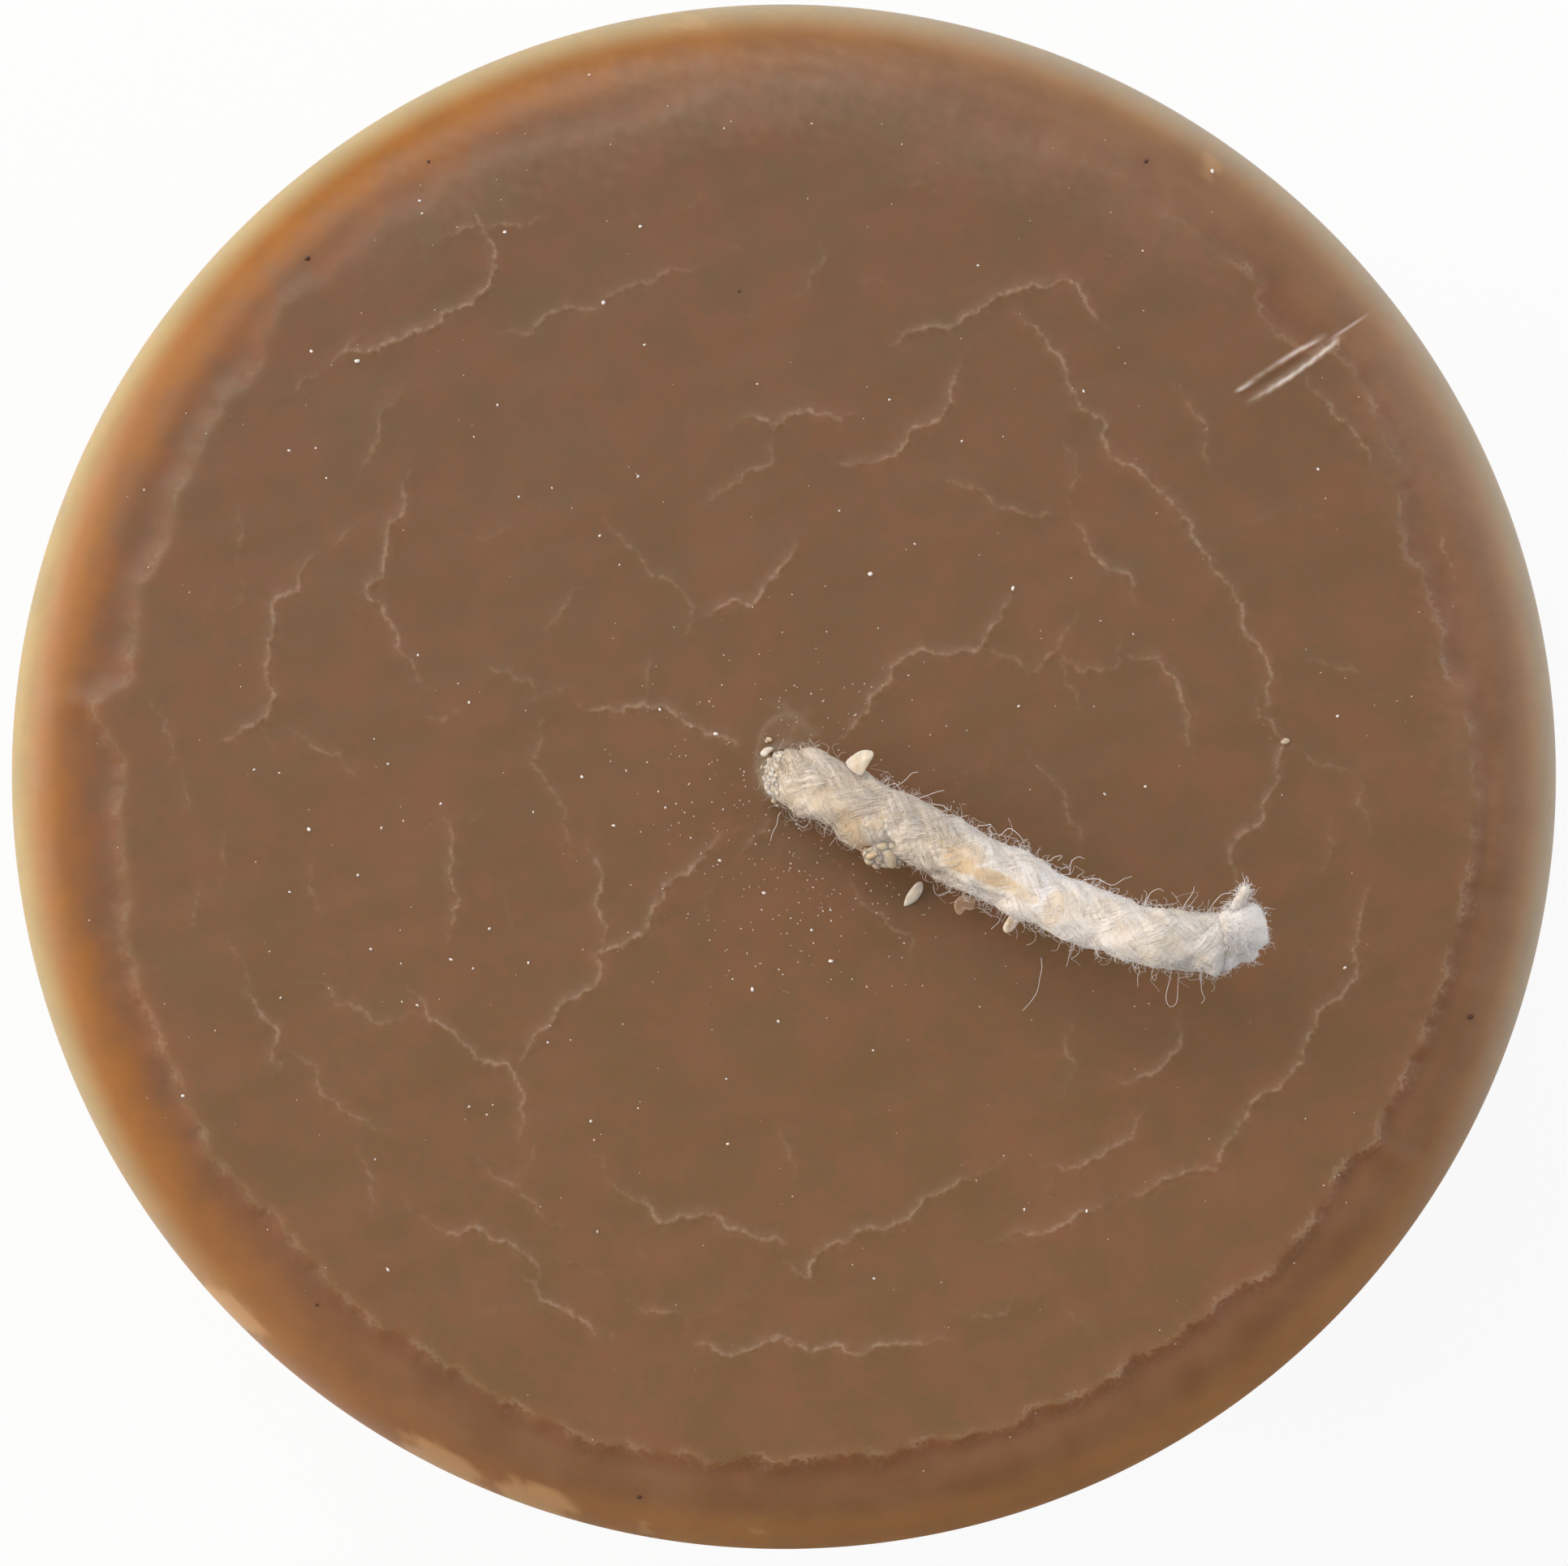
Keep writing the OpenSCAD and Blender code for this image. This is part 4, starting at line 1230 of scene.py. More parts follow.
cotton_material, tree = new_material("loose_spun_cotton")
streaks = on_vectors(tree, "MULTIPLY", attribute(tree, "yarn_place", "Vector"), (0.7, 6.0, 0.0))
fibre = add(tree, "ShaderNodeTexNoise", None, {
    "Vector": streaks, "Scale": 1.0, "Detail": 4.0, "Roughness": 0.6}).outputs[0]
tuft = noise_of(tree, coordinates(tree), 0.5, detail=4, rough=0.6)
dirt = noise_of(tree, coordinates(tree), 2.2, detail=2)
groove_share, soak_share = attribute(tree, "groove"), attribute(tree, "soak")
fresh = blended(tree, ranged(tree, dirt, 0.35, 0.65), "#d3cabf", "#cec0ae")
shaded = blended(tree, ranged(tree, groove_share, 0.15, 0.9, 0.0, 0.5), fresh, "#bda482")
combed = blended(tree, ranged(tree, fibre, 0.3, 0.7, 0.30, 0.0), shaded, "#bfae96")
honey = blended(tree, ranged(tree, tuft, 0.3, 0.7), "#ba996a", "#c1a87d")
cotton_with_painted_light = blended(tree, 1.0, combed, tint_and_painted_light_along_wick(tree), "MULTIPLY")
cotton_colour = blended(tree, worked(tree, "MULTIPLY", soak_share, 0.85), cotton_with_painted_light, honey)
crisp = ranged(tree, attribute(tree, "along"), 8.0, 15.0, 0.5, 0.12)
cotton_normal = bumped(tree, crisp, 0.035, tuft, bumped(tree, crisp, 0.04, fibre))
finished(tree, "ShaderNodeBsdfPrincipled", None, {
    "Base Color": cotton_colour, "Roughness": ranged(tree, soak_share, 0.0, 1.0, 0.95, 0.42),
    "IOR": COTTON_IOR, "Specular IOR Level": 0.25, "Subsurface Weight": 0.5,
    "Subsurface Radius": COTTON_GLOW_MM, "Subsurface Scale": MM, "Sheen Weight": 0.12,
    "Sheen Roughness": 0.5, "Normal": cotton_normal})

braided_wick = piece_from("braided_wick", wick_points, wick_faces, cotton_material, wick_values,
                          {"yarn_place": yarn_place})
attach(braided_wick, "root")
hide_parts("wick")
print("wick volume", round(solid_size(wick_points, wick_faces), 1), "cubic millimetres")

# %% [markdown]
# ## Frayed end
# The wick was cut and its end has opened: the strands stand apart as short soft tufts, and one
# yarn has sprung up. Tufts made one by one would show hard seams where they meet. So the end is
# one mass seen from its middle: its surface lies further out in the directions of the tufts.

# %% Soft mass of the cut end


def on_paths(knots, steps, rows):
    """Each of several short paths through its own knots, smoothed and spaced evenly."""
    return np.stack([at_equal_steps(smooth_path(k, steps), rows) for k in knots])


def raised(pixels, heights):
    """Points seen at these pixels that lie at these heights over the wax."""
    flat = to_mm(pixels, heights)
    return np.column_stack((flat, TOP_Z + np.asarray(heights, float)))


END_AT = raised([(1516, 1152)], [9.15])[0]
END_CORE = 0.95
END_TUFTS = {
    # name: pixel and height of its tip, half width in degrees
    "upper": ((1547, 1115), 9.8, 30), "upper_right": ((1557, 1134), 9.8, 30),
    "right": ((1562, 1156), 9.6, 32), "lower_right": ((1547, 1180), 9.0, 28),
    "lower": ((1507, 1194), 8.8, 34), "inner": ((1490, 1158), 9.1, 60),
    "by_the_sprig": ((1514, 1122), 9.7, 30), "crown": ((1522, 1148), 10.2, 45),
    "over_the_cut": ((1542, 1146), 10.25, 44), "belly": ((1518, 1156), 8.2, 55),
}
END_RINGS, END_COLUMNS = 90, 130
HOLLOW_MM = 0.35
down, round_it = np.meshgrid(np.linspace(0, np.pi, END_RINGS + 2)[1:-1], turns_of(END_COLUMNS), indexing="ij")
end_way = np.stack((np.sin(down) * np.cos(round_it), np.sin(down) * np.sin(round_it), np.cos(down)), axis=-1)
end_way = np.vstack((end_way.reshape(-1, 3), [[0, 0, 1], [0, 0, -1]]))
tuft_sum = np.zeros(len(end_way))
for pixel, up, half_wide in END_TUFTS.values():
    reach = raised([pixel], [up])[0] - END_AT
    size = np.linalg.norm(reach)
    off = np.degrees(np.arccos(np.clip(end_way @ reach / size, -1, 1)))
    tuft_sum += np.clip((size - END_CORE) * bump_of(off, half_wide), 0, None) ** 3
end_r = END_CORE + np.cbrt(tuft_sum)
end_r += 0.03 * ripples(end_way[:, 0] + end_way[:, 2], end_way[:, 1], 0.5, seed=51)
end_r += 0.014 * ripples(end_way[:, 0] - end_way[:, 2], end_way[:, 1], 0.13, seed=52, count=7)
end_part = (END_AT + end_r[:, None] * end_way, capped(END_RINGS, END_COLUMNS)[:, ::-1])
end_hollow = np.clip((END_CORE + HOLLOW_MM - end_r) / HOLLOW_MM, 0, 1)
print("cut end reaches", round(end_r.max(), 2), "mm from its middle,", len(END_TUFTS), "tufts")

# %% Sprung yarn
SPRIG = [(1517, 1138), (1522, 1122), (1529, 1107), (1536, 1093)]
SPRIG_UP, SPRIG_R = (8.9, 9.5, 10.1, 10.6), 0.22
SPRIG_ROWS, SPRIG_SIDES = 40, 48
BRIGHT_TINT_AT = 15.0
sprig_path = on_paths([raised(SPRIG, SPRIG_UP)], 8, SPRIG_ROWS)
t = np.linspace(0, 1, SPRIG_ROWS)[None, :, None]
a = turns_of(SPRIG_SIDES)[None, None]
sprig_round = np.sqrt(np.clip(1 - np.clip((t - 0.86) / 0.14, 0, 1) ** 2.4, 0.03, 1))
sprig_ridges = 0.014 * np.cos(7 * a + 5 * t) + 0.02 * np.sin(3 * a - 6 * t)
sprig_radii = (SPRIG_R * (1.25 - 0.25 * t) + sprig_ridges) * sprig_round
sprig_points, sprig_faces = tubes(sprig_path, sprig_radii, SPRIG_SIDES, np.array(LEAN_GUIDE))
end_points, end_faces = stacked([end_part, (sprig_points, sprig_faces)])
# Both take the tint that the cotton has 15 mm along the wick, where painted light makes it whiter; the sprung
# yarn also gets a little painted groove shade all over.
end_values = {"groove": np.concatenate((end_hollow, np.full(len(sprig_points), 0.4))),
              "soak": np.zeros(len(end_points)), "along": np.full(len(end_points), BRIGHT_TINT_AT)}
frayed_end = piece_from("frayed_end", end_points, end_faces, cotton_material, end_values,
                        {"yarn_place": (end_points - END_AT) * (1.0, 0.5, 0.5)})
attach(frayed_end, "root")
print("cut end and sprung yarn:", round(solid_size(*end_part), 2), "and",
      round(solid_size(sprig_points, sprig_faces), 2), "cubic millimetres")

# %% [markdown]
# ## Loose fibres
# Hundreds of single fibres stand off the yarns and curl, and thousands lie along the strands as
# a nap. Hair curves would be the usual tool, but they are not exported, so each fibre is a thin
# three-sided tube. Real ones are about 0.02 mm thick. Here they are drawn a little thicker,
# because a tube much thinner than a pixel comes and goes.

# %% Fibres all over the wick
FIBRES, FIBRE_R, FIBRE_STEPS = 1500, 0.012, 12
FIBRE_LONGEST = 1.5
rng = np.random.default_rng(5)


def curls(roots, out, length, curl, rng, steps=FIBRE_STEPS):
    """Curling fibre paths: root + length * (out * t) + curl * t * (cos, sin of a random winding)."""
    count = len(roots)
    t = np.linspace(0, 1, steps)[None, :, None]
    one_way = unit(np.cross(out, rng.normal(0, 1, (count, 3))))
    other_way = np.cross(out, one_way)
    winding = rng.uniform(3.0, 9.0, (count, 1, 1)) * t + rng.uniform(0, 6.28, (count, 1, 1))
    size = (curl * length)[:, None, None] * t**0.8
    bend = size * (np.cos(winding) * one_way[:, None] + np.sin(winding) * other_way[:, None])
    return roots[:, None] + length[:, None, None] * t * out[:, None] + bend - bend[:, :1]


def tapered(paths, radius, loss=0.0):
    """Radii along many paths that lose a share of their thickness up to the tip."""
    count, steps, _ = paths.shape
    return np.tile(radius * (1 - loss * np.linspace(0, 1, steps)), (count, 1))


row = 6 + (rng.uniform(0.06, 0.985, FIBRES) ** 0.92 * (rows_n - 7)).astype(int)
column = rng.integers(0, sides_n, FIBRES)
roots = skin_grid[row, column] - outward[row, column] * 0.03
lean_out = outward[row, column] + rng.normal(0, 0.55, (FIBRES, 3))
lean_out += ahead[row] * rng.normal(0, 0.6, (FIBRES, 1))
fibre_length = np.clip(rng.gamma(2.0, 0.17, FIBRES) + 0.10, 0, FIBRE_LONGEST)
fibre_paths = curls(roots, unit(lean_out), fibre_length, rng.uniform(0.15, 0.6, FIBRES), rng)
print(FIBRES, "fibres of", round(float(fibre_length.mean()), 2), "mm on average")

# %% Nap of fibres that lie along the strands
NAP, NAP_STEPS, NAP_R = 5000, 6, 0.015


def on_skin(grid, row, column):
    """A grid's value at rows and columns between its points, by shares of the four round them."""
    r, c = np.floor(row).astype(int), np.floor(column).astype(int)
    fr, fc = (row - r)[..., None], (column - c)[..., None]
    r, after = np.clip(r, 0, len(grid) - 2), np.clip(r + 1, 0, len(grid) - 1)
    c, beyond = c % grid.shape[1], (c + 1) % grid.shape[1]
    near = grid[r, c] * (1 - fc) + grid[r, beyond] * fc
    return near * (1 - fr) + (grid[after, c] * (1 - fc) + grid[after, beyond] * fc) * fr


nap_row = rng.integers(12, rows_n - 24, NAP)
nap_column = rng.integers(0, sides_n, NAP)
# none where wax has soaked in, and fewer along the far half
lies = soak[nap_row, nap_column] < rng.uniform(0.1, 0.7, NAP)
lies &= rng.uniform(0, 1, NAP) < 1 - 0.65 * eased(along_mm[nap_row], 9.0, 14.0)
nap_row, nap_column = nap_row[lies], nap_column[lies]
nap_count = len(nap_row)
nap_way = np.where(winds_right[nap_row, nap_column], -1.0, 1.0) * rng.uniform(0.5, 1.3, nap_count)
nap_t = np.linspace(0, 1, NAP_STEPS)[None]
nap_run = rng.uniform(0.35, 0.85, (nap_count, 1)) * nap_t
nap_lift = 0.008 + rng.uniform(0.0, 0.13, (nap_count, 1)) ** 1.3 * nap_t**2
nap_rows = nap_row[:, None] + nap_run / SKIN_STEP
nap_columns = nap_column[:, None] + nap_way[:, None] * nap_run * SKIN_SIDES / LAY
nap_paths = on_skin(skin_grid, nap_rows, nap_columns)
nap_paths = nap_paths + nap_lift[..., None] * on_skin(outward, nap_rows, nap_columns)
print(nap_count, "fibres lie along the strands")

# %% Longer threads that show in the photograph, as pixels and heights
THREADS = [
    ([(962, 1000), (957, 1010), (955, 1022), (948, 1036)], (0.5, 0.3, 0.15, 0.05)),
    ([(972, 1002), (980, 1014), (992, 1018), (998, 1008), (988, 1004)], (1.0, 0.9, 0.8, 1.0, 1.1)),
    ([(1005, 1012), (1020, 1022), (1030, 1030), (1024, 1042)], (1.2, 0.8, 0.5, 0.3)),
    ([(1100, 972), (1116, 960), (1124, 953), (1131, 951)], (3.2, 3.9, 4.3, 4.5)),
    ([(1093, 968), (1104, 966), (1112, 975), (1116, 985)], (3.4, 4.0, 4.1, 3.8)),
    ([(1128, 985), (1142, 980), (1156, 975), (1164, 973)], (3.8, 4.4, 4.6, 4.6)),
    ([(1147, 990), (1160, 992), (1170, 998), (1172, 992)], (4.0, 4.5, 4.7, 4.6)),
    ([(1197, 1020), (1210, 1018), (1219, 1014), (1217, 1022)], (4.6, 5.2, 5.4, 5.3)),
    ([(1230, 1030), (1244, 1022), (1256, 1028), (1262, 1040)], (5.2, 5.8, 6.0, 5.8)),
    ([(1290, 1062), (1300, 1056), (1308, 1054), (1303, 1060)], (5.8, 6.4, 6.5, 6.3)),
    ([(1318, 1078), (1320, 1062), (1328, 1056), (1336, 1058)], (6.2, 7.0, 7.3, 7.2)),
    ([(1335, 1084), (1352, 1083), (1371, 1090), (1384, 1083), (1394, 1080)], (6.6, 7.2, 7.4, 7.3, 7.2)),
    ([(1150, 1090), (1152, 1100), (1160, 1102), (1172, 1099)], (3.4, 3.0, 2.9, 3.0)),
    ([(1205, 1118), (1220, 1126), (1232, 1134), (1221, 1143)], (3.8, 3.2, 2.6, 2.4)),
    ([(1283, 1180), (1283, 1196), (1280, 1216), (1272, 1230), (1260, 1245)], (2.6, 1.8, 1.0, 0.5, 0.2)),
    ([(1320, 1160), (1319, 1172), (1316, 1184), (1313, 1190)], (5.0, 4.2, 3.8, 3.5)),
    ([(1444, 1192), (1441, 1208), (1437, 1228), (1441, 1240), (1449, 1236), (1451, 1215), (1453, 1198)],
     (7.0, 6.4, 5.9, 5.7, 5.8, 6.2, 6.8)),
    ([(1478, 1192), (1480, 1206), (1481, 1222), (1484, 1230), (1480, 1236)], (7.4, 6.8, 6.4, 6.2, 6.0)),
    ([(1402, 1186), (1403, 1198), (1402, 1211), (1401, 1214)], (6.8, 6.2, 5.8, 5.6)),
    ([(1421, 1190), (1420, 1202), (1422, 1208), (1425, 1200)], (7.0, 6.4, 6.2, 6.4)),
    ([(1410, 1118), (1416, 1102), (1428, 1094), (1434, 1098)], (8.2, 8.8, 9.1, 9.0)),
    ([(1455, 1122), (1464, 1108), (1470, 1098), (1473, 1090)], (8.8, 9.4, 9.7, 9.8)),
    ([(1487, 1126), (1494, 1114), (1506, 1102), (1517, 1100)], (9.2, 9.8, 10.1, 10.2)),
]
THREAD_STEPS, THREAD_R = 26, 0.014
thread_paths = on_paths([raised(p, h) for p, h in THREADS], 8, THREAD_STEPS)
t = np.linspace(0, 1, THREAD_STEPS)[None, :, None]
shake = rng.normal(0, 1, (len(THREADS), 1, 3)) * np.sin(9 * t + rng.uniform(0, 6, (len(THREADS), 1, 1)))
thread_paths = thread_paths + 0.035 * shake * eased(t, 0, 0.3)
print(len(THREADS), "longer threads")

# %% Short fibres of the cut end and of the sprung yarn
END_FIBRES, SPRIG_FIBRES, SHORT_STEPS = 1700, 260, 6
SHORT_LONGEST = 0.6
OUT_OF_THE_CUT = np.array((0.9, -0.1, 0.3))
picked = rng.integers(0, len(end_way), END_FIBRES)
picked = picked[end_way[picked] @ OUT_OF_THE_CUT > -0.35]
sprig_grid = sprig_points[:SPRIG_ROWS * SPRIG_SIDES].reshape(SPRIG_ROWS, SPRIG_SIDES, 3)
sprig_row = rng.integers(8, SPRIG_ROWS, SPRIG_FIBRES)
sprig_column = rng.integers(0, SPRIG_SIDES, SPRIG_FIBRES)
sprig_start = sprig_grid[sprig_row, sprig_column]
sprig_out = unit(sprig_start - sprig_path[0, sprig_row])
to_its_tip = 0.3 + 1.2 * (sprig_row / SPRIG_ROWS) ** 4
sprig_out += unit(sprig_path[0, -1] - sprig_path[0, -2]) * to_its_tip[:, None]
short_roots = np.vstack((end_part[0][picked] - 0.04 * end_way[picked], sprig_start))
short_out = unit(np.vstack((end_way[picked], sprig_out)) + rng.normal(0, 0.45, (len(short_roots), 3)))
short_length = np.clip(rng.gamma(2.0, 0.08, len(short_roots)) + 0.08, 0, SHORT_LONGEST)
short_curl = rng.uniform(0.1, 0.5, len(short_roots))
end_paths = curls(short_roots, short_out, short_length, short_curl, rng, SHORT_STEPS)
for paths in (fibre_paths, end_paths, thread_paths):
    paths[..., 2] = np.maximum(paths[..., 2], TOP_Z + 0.03)
print(len(short_roots), "short fibres")

# %% Fibres that stand off, and the nap
THREADS_AT = 14.0
guide = np.array([0.31, -0.22, 0.93])
fibre_sets = [
    # paths, radii, sides and how far along the wick each starts
    (fibre_paths, tapered(fibre_paths, FIBRE_R, 0.5), 3, along_mm[row]),
    (end_paths, tapered(end_paths, FIBRE_R, 0.5), 3, np.full(len(end_paths), BRIGHT_TINT_AT)),
    (thread_paths, tapered(thread_paths, THREAD_R, 0.35), 5, np.full(len(THREADS), THREADS_AT)),
]
fibre_parts = [tubes(paths, radii, sides, guide) for paths, radii, sides, _ in fibre_sets]
fuzz_points, fuzz_faces = stacked(fibre_parts)
fuzz_along = np.concatenate([np.repeat(start, len(part[0]) // len(start))
                             for part, (_, _, _, start) in zip(fibre_parts, fibre_sets)])
nap_points, nap_faces = tubes(nap_paths, tapered(nap_paths, NAP_R), 3, guide)
per_fibre = len(nap_points) // nap_count
nap_values = {"along": np.repeat(along_mm[nap_row], per_fibre),
              "tone": np.repeat(rng.uniform(0, 1, nap_count), per_fibre)}
fuzz_material, tree = new_material("single_cotton_fibres")
fuzz_tint = blended(tree, attribute(tree, "tone"), "#ddd4ca", "#cfbfa8")
fuzz_colour = blended(tree, 1.0, fuzz_tint, tint_and_painted_light_along_wick(tree), "MULTIPLY")
finished(tree, "ShaderNodeBsdfPrincipled", None, {
    "Base Color": fuzz_colour, "Roughness": 0.75, "IOR": COTTON_IOR, "Sheen Weight": 0.1})
wick_fuzz = piece_from("wick_fuzz", fuzz_points, fuzz_faces, fuzz_material,
                       {"along": fuzz_along, "tone": np.zeros(len(fuzz_points))})
wick_nap = piece_from("wick_nap", nap_points, nap_faces, fuzz_material, nap_values)
for piece in (wick_fuzz, wick_nap):
    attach(piece, "root")

# %% [markdown]
# ## Crumbs on the wick and specks on the wax
# Flakes and crumbs of pale wax stick to the wick, and fine wax dust lies all over the top. A
# flake is a thin plate with a round edge, drawn from its outline in the photograph. A crumb or a
# grain is a closed pebble: a sphere by latitude and longitude that is pushed about by sines and
# stretched along three axes of its own. Dust is placed where the photograph shows its larger
# grains, and the rest is scattered, thickest round the root of the wick.

# %% Flakes of wax


def flake(outline, height, rise, thick):
    """A thin plate with round edges. Its outline, in pixels, is shrunk to shares of its size, and
    each ring lies thick * sqrt(1 - share^4) above or below a plane that rises along x and y."""
    loop = np.asarray(outline + outline[:2], float)
    rim = to_mm(smooth_path(loop, 5)[5:-1], height)
    middle = rim.mean(axis=0)
    share = np.array((0.2, 0.5, 0.75, 0.9, 0.98, 1.0, 0.98, 0.9, 0.75, 0.5, 0.2))
    side = np.array((1, 1, 1, 1, 1, 0, -1, -1, -1, -1, -1))
    flat = middle + share[:, None, None] * (rim - middle)
    over = side * thick * np.sqrt(1 - share**4)
    bumpy = 1 + 0.35 * ripples(flat[..., 0], flat[..., 1], 0.5, seed=len(outline))
    z = TOP_Z + height + (flat - middle) @ np.array(rise) + over[:, None] * bumpy
    rings = np.concatenate((flat, z[..., None]), axis=-1).reshape(-1, 3)
    ends = [(*middle, TOP_Z + height + thick), (*middle, TOP_Z + height - thick)]
    points, faces = np.vstack((rings, ends)), capped(len(share), len(rim))
    return points, faces if solid_size(points, faces) > 0 else faces[:, ::-1]


FLAKES = {
    # name: outline in pixels, height, rise along x and y, half thickness, tone from pale to tan
    "leaf": ([(1042, 939), (1054, 928), (1064, 924), (1074, 925), (1076, 931), (1068, 945), (1061, 955),
              (1050, 950)], 3.9, (0.35, 0.1), 0.10, 0.15),
    "facet_a": ([(1063, 1018), (1070, 1011), (1082, 1009), (1092, 1013), (1098, 1022), (1094, 1030),
                 (1083, 1034), (1073, 1033), (1065, 1027)], 4.22, (0.28, 0.62), 0.15, 0.55),
    "facet_b": ([(1092, 1024), (1099, 1022), (1103, 1030), (1100, 1040), (1092, 1043), (1088, 1034)],
                4.02, (0.2, 0.6), 0.12, 0.95),
    "tan_edge": ([(1040, 1022), (1049, 1020), (1058, 1022), (1065, 1032), (1071, 1043), (1066, 1051),
                  (1056, 1044), (1046, 1033)], 3.1, (0.45, 0.9), 0.22, 1.0),
    "thin_brown": ([(1176, 1112), (1182, 1104), (1192, 1103), (1202, 1110), (1198, 1121), (1190, 1121),
                    (1184, 1127), (1178, 1124)], 2.5, (0.1, 0.3), 0.05, 1.5),
    "grain": ([(1236, 1142), (1242, 1130), (1250, 1121), (1259, 1119), (1262, 1126), (1255, 1137),
               (1247, 1147), (1239, 1149)], 3.6, (0.1, 0.3), 0.24, 0.1),
    "on_the_wax": ([(1114, 1116), (1116, 1105), (1123, 1094), (1130, 1087), (1136, 1087), (1137, 1096),
                    (1132, 1106), (1124, 1113)], 0.14, (0.02, 0.12), 0.12, 0.0),
    "under_the_crumbs": ([(1063, 1050), (1076, 1041), (1096, 1034), (1117, 1042), (1119, 1056),
                          (1104, 1066), (1086, 1067), (1069, 1061)], 3.5, (0.1, 0.35), 0.42, 0.9),
    "at_the_root": ([(937, 927), (941, 922), (948, 920), (953, 922), (948, 928), (943, 932), (938, 931)],
                    0.2, (0.2, 0.1), 0.10, 0.0),
    "on_the_edge": ([(1578, 914), (1583, 909), (1589, 911), (1588, 915), (1582, 917)], 0.06, (0, 0), 0.05,
                    0.9),
}
CRUMB_TONE, COLLAR_TONE = 0.7, 0.05
flake_parts = [flake(*shape) for *shape, tone in FLAKES.values()]
print(len(FLAKES), "flakes with", sum(len(faces) for _, faces in flake_parts), "triangles")

# %% Crumbs of wax: centre in pixels, height and half size
CRUMBS = [
    (1074, 1056, 3.3, 0.34), (1082, 1058, 3.2, 0.38), (1070, 1050, 3.4, 0.26), (1088, 1051, 3.5, 0.52),
    (1099, 1049, 3.6, 0.56), (1093, 1056, 3.3, 0.48), (1105, 1055, 3.45, 0.46), (1091, 1042, 3.8, 0.36),
    (1099, 1040, 3.9, 0.32), (1083, 1046, 3.6, 0.40), (1112, 1050, 3.7, 0.36), (1119, 1047, 3.85, 0.24),
    (1106, 1066, 2.9, 0.14), (1077, 1051, 3.2, 0.22), (948, 911, 0.16, 0.12), (945, 913, 0.14, 0.09),
    (941, 957, 0.2, 0.09), (939, 945, 0.2, 0.08), (954, 986, 0.5, 0.12), (957, 992, 0.4, 0.08),
]
COLLAR = {"crescent": (951, 938, 11, 28, -12, 1.0), "below_it": (952, 970, 8, 14, 0, 1.0)}
COLLAR_CRUMBS = 130
rng = np.random.default_rng(9)


def tumbled(sizes, rng):
    """Axes of lumps that lie any way: a random turn for each, times its three half sizes."""
    turn, _ = np.linalg.qr(rng.normal(0, 1, (len(sizes), 3, 3)))
    turn[:, 2] *= np.sign(np.linalg.det(turn))[:, None]
    return turn * sizes[:, :, None]


crumb_spots = np.array(CRUMBS)
crumb_centres = raised(crumb_spots[:, :2], crumb_spots[:, 2])
crumb_sizes = crumb_spots[:, 3:] * rng.uniform(0.85, 1.15, (len(CRUMBS), 3))
in_collar = (in_ovals(seen_at(skin_grid), COLLAR, 0.3) > 0.3) & (outward[..., 2] > -0.1) & (s_grid > 0.1)
on_collar = np.argwhere(in_collar)
collar_row, collar_column = on_collar[rng.integers(0, len(on_collar), COLLAR_CRUMBS)].T
collar_centres = skin_grid[collar_row, collar_column] + 0.02 * outward[collar_row, collar_column]
collar_sizes = rng.uniform(0.035, 0.12, (COLLAR_CRUMBS, 1)) * rng.uniform(0.7, 1.3, (COLLAR_CRUMBS, 3))
crumb_parts = flake_parts + [
    lumps(crumb_centres, tumbled(crumb_sizes, rng), 0.12, seed=60, rings=17, columns=26),
    lumps(collar_centres, tumbled(collar_sizes, rng), 0.24, seed=61, rings=7, columns=10),
]
tones = [tone for *shape, tone in FLAKES.values()] + [CRUMB_TONE, COLLAR_TONE]
crumb_points, crumb_faces = stacked(crumb_parts)
crumb_tones = np.concatenate([np.full(len(part[0]), tone) for part, tone in zip(crumb_parts, tones)])
print(len(CRUMBS), "crumbs and", COLLAR_CRUMBS, "small ones at the root")

# %% Finish of flakes and crumbs
CRUMB_GLOW_MM = (0.9, 0.65, 0.4)
crumb_material, tree = new_material("crumbs_of_pale_wax")
crumb_cloud = noise_of(tree, coordinates(tree), 0.3, detail=3)
tone = attribute(tree, "tone")
crumb_colour = blended(tree, tone, "#decfbf", "#cbaa88")
crumb_colour = blended(tree, ranged(tree, tone, 1.1, 1.5), crumb_colour, "#9c7f68")
crumb_colour = blended(tree, ranged(tree, crumb_cloud, 0.35, 0.65, 0.0, 0.3), crumb_colour, "#b89a78")
finished(tree, "ShaderNodeBsdfPrincipled", None, {
    "Base Color": crumb_colour, "Roughness": 0.5, "IOR": WAX_IOR, "Subsurface Weight": 0.7,
    "Subsurface Radius": CRUMB_GLOW_MM, "Subsurface Scale": MM,
    "Normal": bumped(tree, 0.3, 0.03, crumb_cloud)})
wax_crumbs = piece_from("wax_crumbs", crumb_points, crumb_faces, crumb_material, {"tone": crumb_tones})
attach(wax_crumbs, "root")

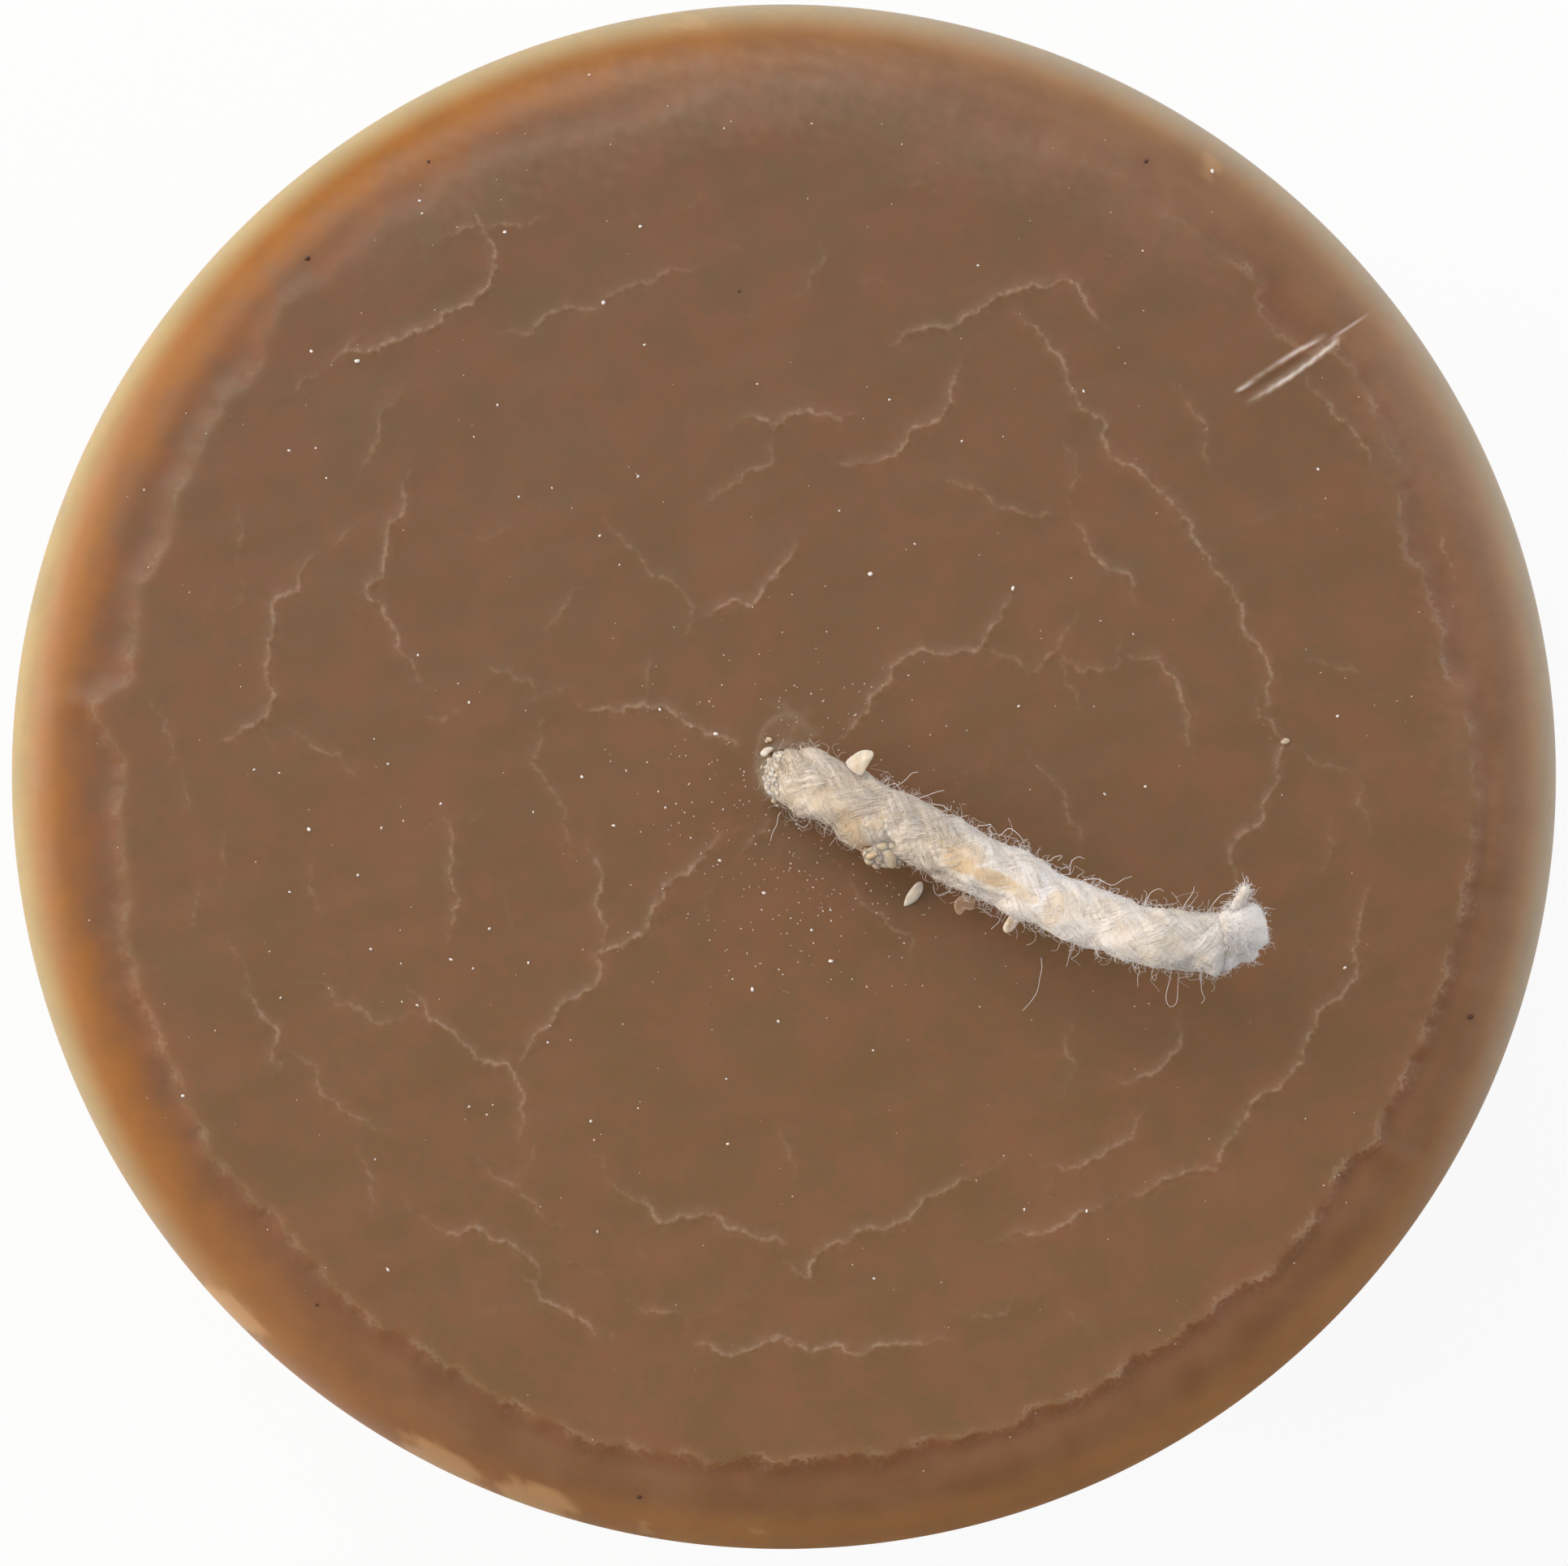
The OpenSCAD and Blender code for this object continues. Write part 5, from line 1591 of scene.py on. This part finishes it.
# %% Dust
LARGE_SPECKS = [
    (384, 433), (440, 445), (789, 279), (622, 286), (882, 904), (813, 874), (1072, 707), (1648, 882),
    (941, 1100), (457, 1169), (959, 1258), (728, 1381), (743, 373), (225, 1350), (717, 957), (1248, 725),
    (1024, 1184), (1495, 209), (381, 1022), (927, 1219),
]
SMALL_SPECKS = [
    (726, 91), (517, 247), (520, 263), (892, 158), (794, 425), (933, 473), (613, 499), (389, 552),
    (356, 555), (402, 589), (584, 538), (177, 603), (786, 587), (680, 601), (639, 612), (739, 660),
    (811, 975), (578, 865), (313, 948), (344, 952), (478, 941), (543, 990), (515, 807), (1408, 309),
    (1335, 482), (1185, 543), (1096, 492), (1127, 670), (1034, 629), (1624, 578), (1205, 327),
    (1396, 781), (1255, 870), (1361, 978), (1411, 969), (497, 1011), (470, 1020), (756, 1017),
    (820, 995), (657, 1000), (891, 997), (887, 1060), (851, 1032), (441, 1078), (357, 1099),
    (913, 1144), (603, 1144), (494, 1187), (556, 1182), (583, 1193), (651, 1186), (495, 1234),
    (514, 1238), (346, 1229), (703, 1281), (675, 1284), (895, 1329), (578, 1363), (607, 1361),
    (600, 1373), (786, 1365), (732, 1404), (897, 1409), (462, 1428), (736, 1517), (478, 1564),
    (1076, 1294), (1000, 1146), (1023, 1121), (1077, 1575), (1262, 1490), (1339, 1492), (1657, 1192),
]
DARK_SPECKS = [(378, 318), (911, 359), (528, 199), (1413, 198), (1813, 1253), (787, 1846), (390, 1608)]
SCATTERED, ROUND_THE_ROOT, UNDER_THE_WICK = 260, 260, 110
SUNK_SHARE = 0.6
near_root = to_mm((966, 975)) + rng.normal(0, 3.4, (ROUND_THE_ROOT, 2))
under = to_mm((1020, 1110)) + rng.normal(0, 1, (UNDER_THE_WICK, 2)) * (3.0, 2.2)
reach = 32 * np.sqrt(rng.uniform(0, 1, SCATTERED))
about = rng.uniform(0, 2 * np.pi, SCATTERED)
scattered = np.column_stack((reach * np.cos(about), reach * np.sin(about)))
groups = [
    # places, smallest and largest half width in mm, 1 for dark grains
    (to_mm(LARGE_SPECKS), 0.06, 0.10, 0), (to_mm(SMALL_SPECKS), 0.035, 0.06, 0),
    (np.vstack((near_root, under, scattered)), 0.013, 0.032, 0), (to_mm(DARK_SPECKS), 0.06, 0.10, 1),
]


def specks(spots, low, high, rng):
    """Grains of dust seated on the wax, each sunk a little into it."""
    spots = spots[np.hypot(*spots.T) > 1.6]
    over = np.clip(np.hypot(*spots.T) - FLAT_R, 0, SHOULDER_R * 0.95)
    height = top_surface(spots)[0] - (SHOULDER_R - np.sqrt(SHOULDER_R**2 - over**2))
    size = rng.uniform(low, high, len(spots))
    turn = rng.uniform(0, np.pi, len(spots))
    long, wide, tall = size * rng.uniform(1.0, 1.7, len(spots)), size, size * 0.7
    zero = 0 * turn
    axes = np.stack((
        np.stack((np.cos(turn) * long, np.sin(turn) * long, zero), axis=-1),
        np.stack((-np.sin(turn) * wide, np.cos(turn) * wide, zero), axis=-1),
        np.stack((zero, zero, tall), axis=-1),
    ), axis=1)
    centres = np.column_stack((spots, TOP_Z + height + tall * SUNK_SHARE))
    return lumps(centres, axes, 0.22, seed=int(high * 1e4), rings=3, columns=6)


speck_parts = [specks(spots, low, high, rng) for spots, low, high, _ in groups]
speck_points, speck_faces = stacked(speck_parts)
speck_dark = np.concatenate([np.full(len(part[0]), float(dark))
                             for part, (_, _, _, dark) in zip(speck_parts, groups)])
speck_material, tree = new_material("wax_dust")
speck_colour = blended(tree, attribute(tree, "dark"), "#e9e2da", "#4a2c1c")
finished(tree, "ShaderNodeBsdfPrincipled", None, {
    "Base Color": speck_colour, "Roughness": 0.55, "IOR": WAX_IOR})
dust = piece_from("dust_specks", speck_points, speck_faces, speck_material, {"dark": speck_dark})
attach(dust, "root")
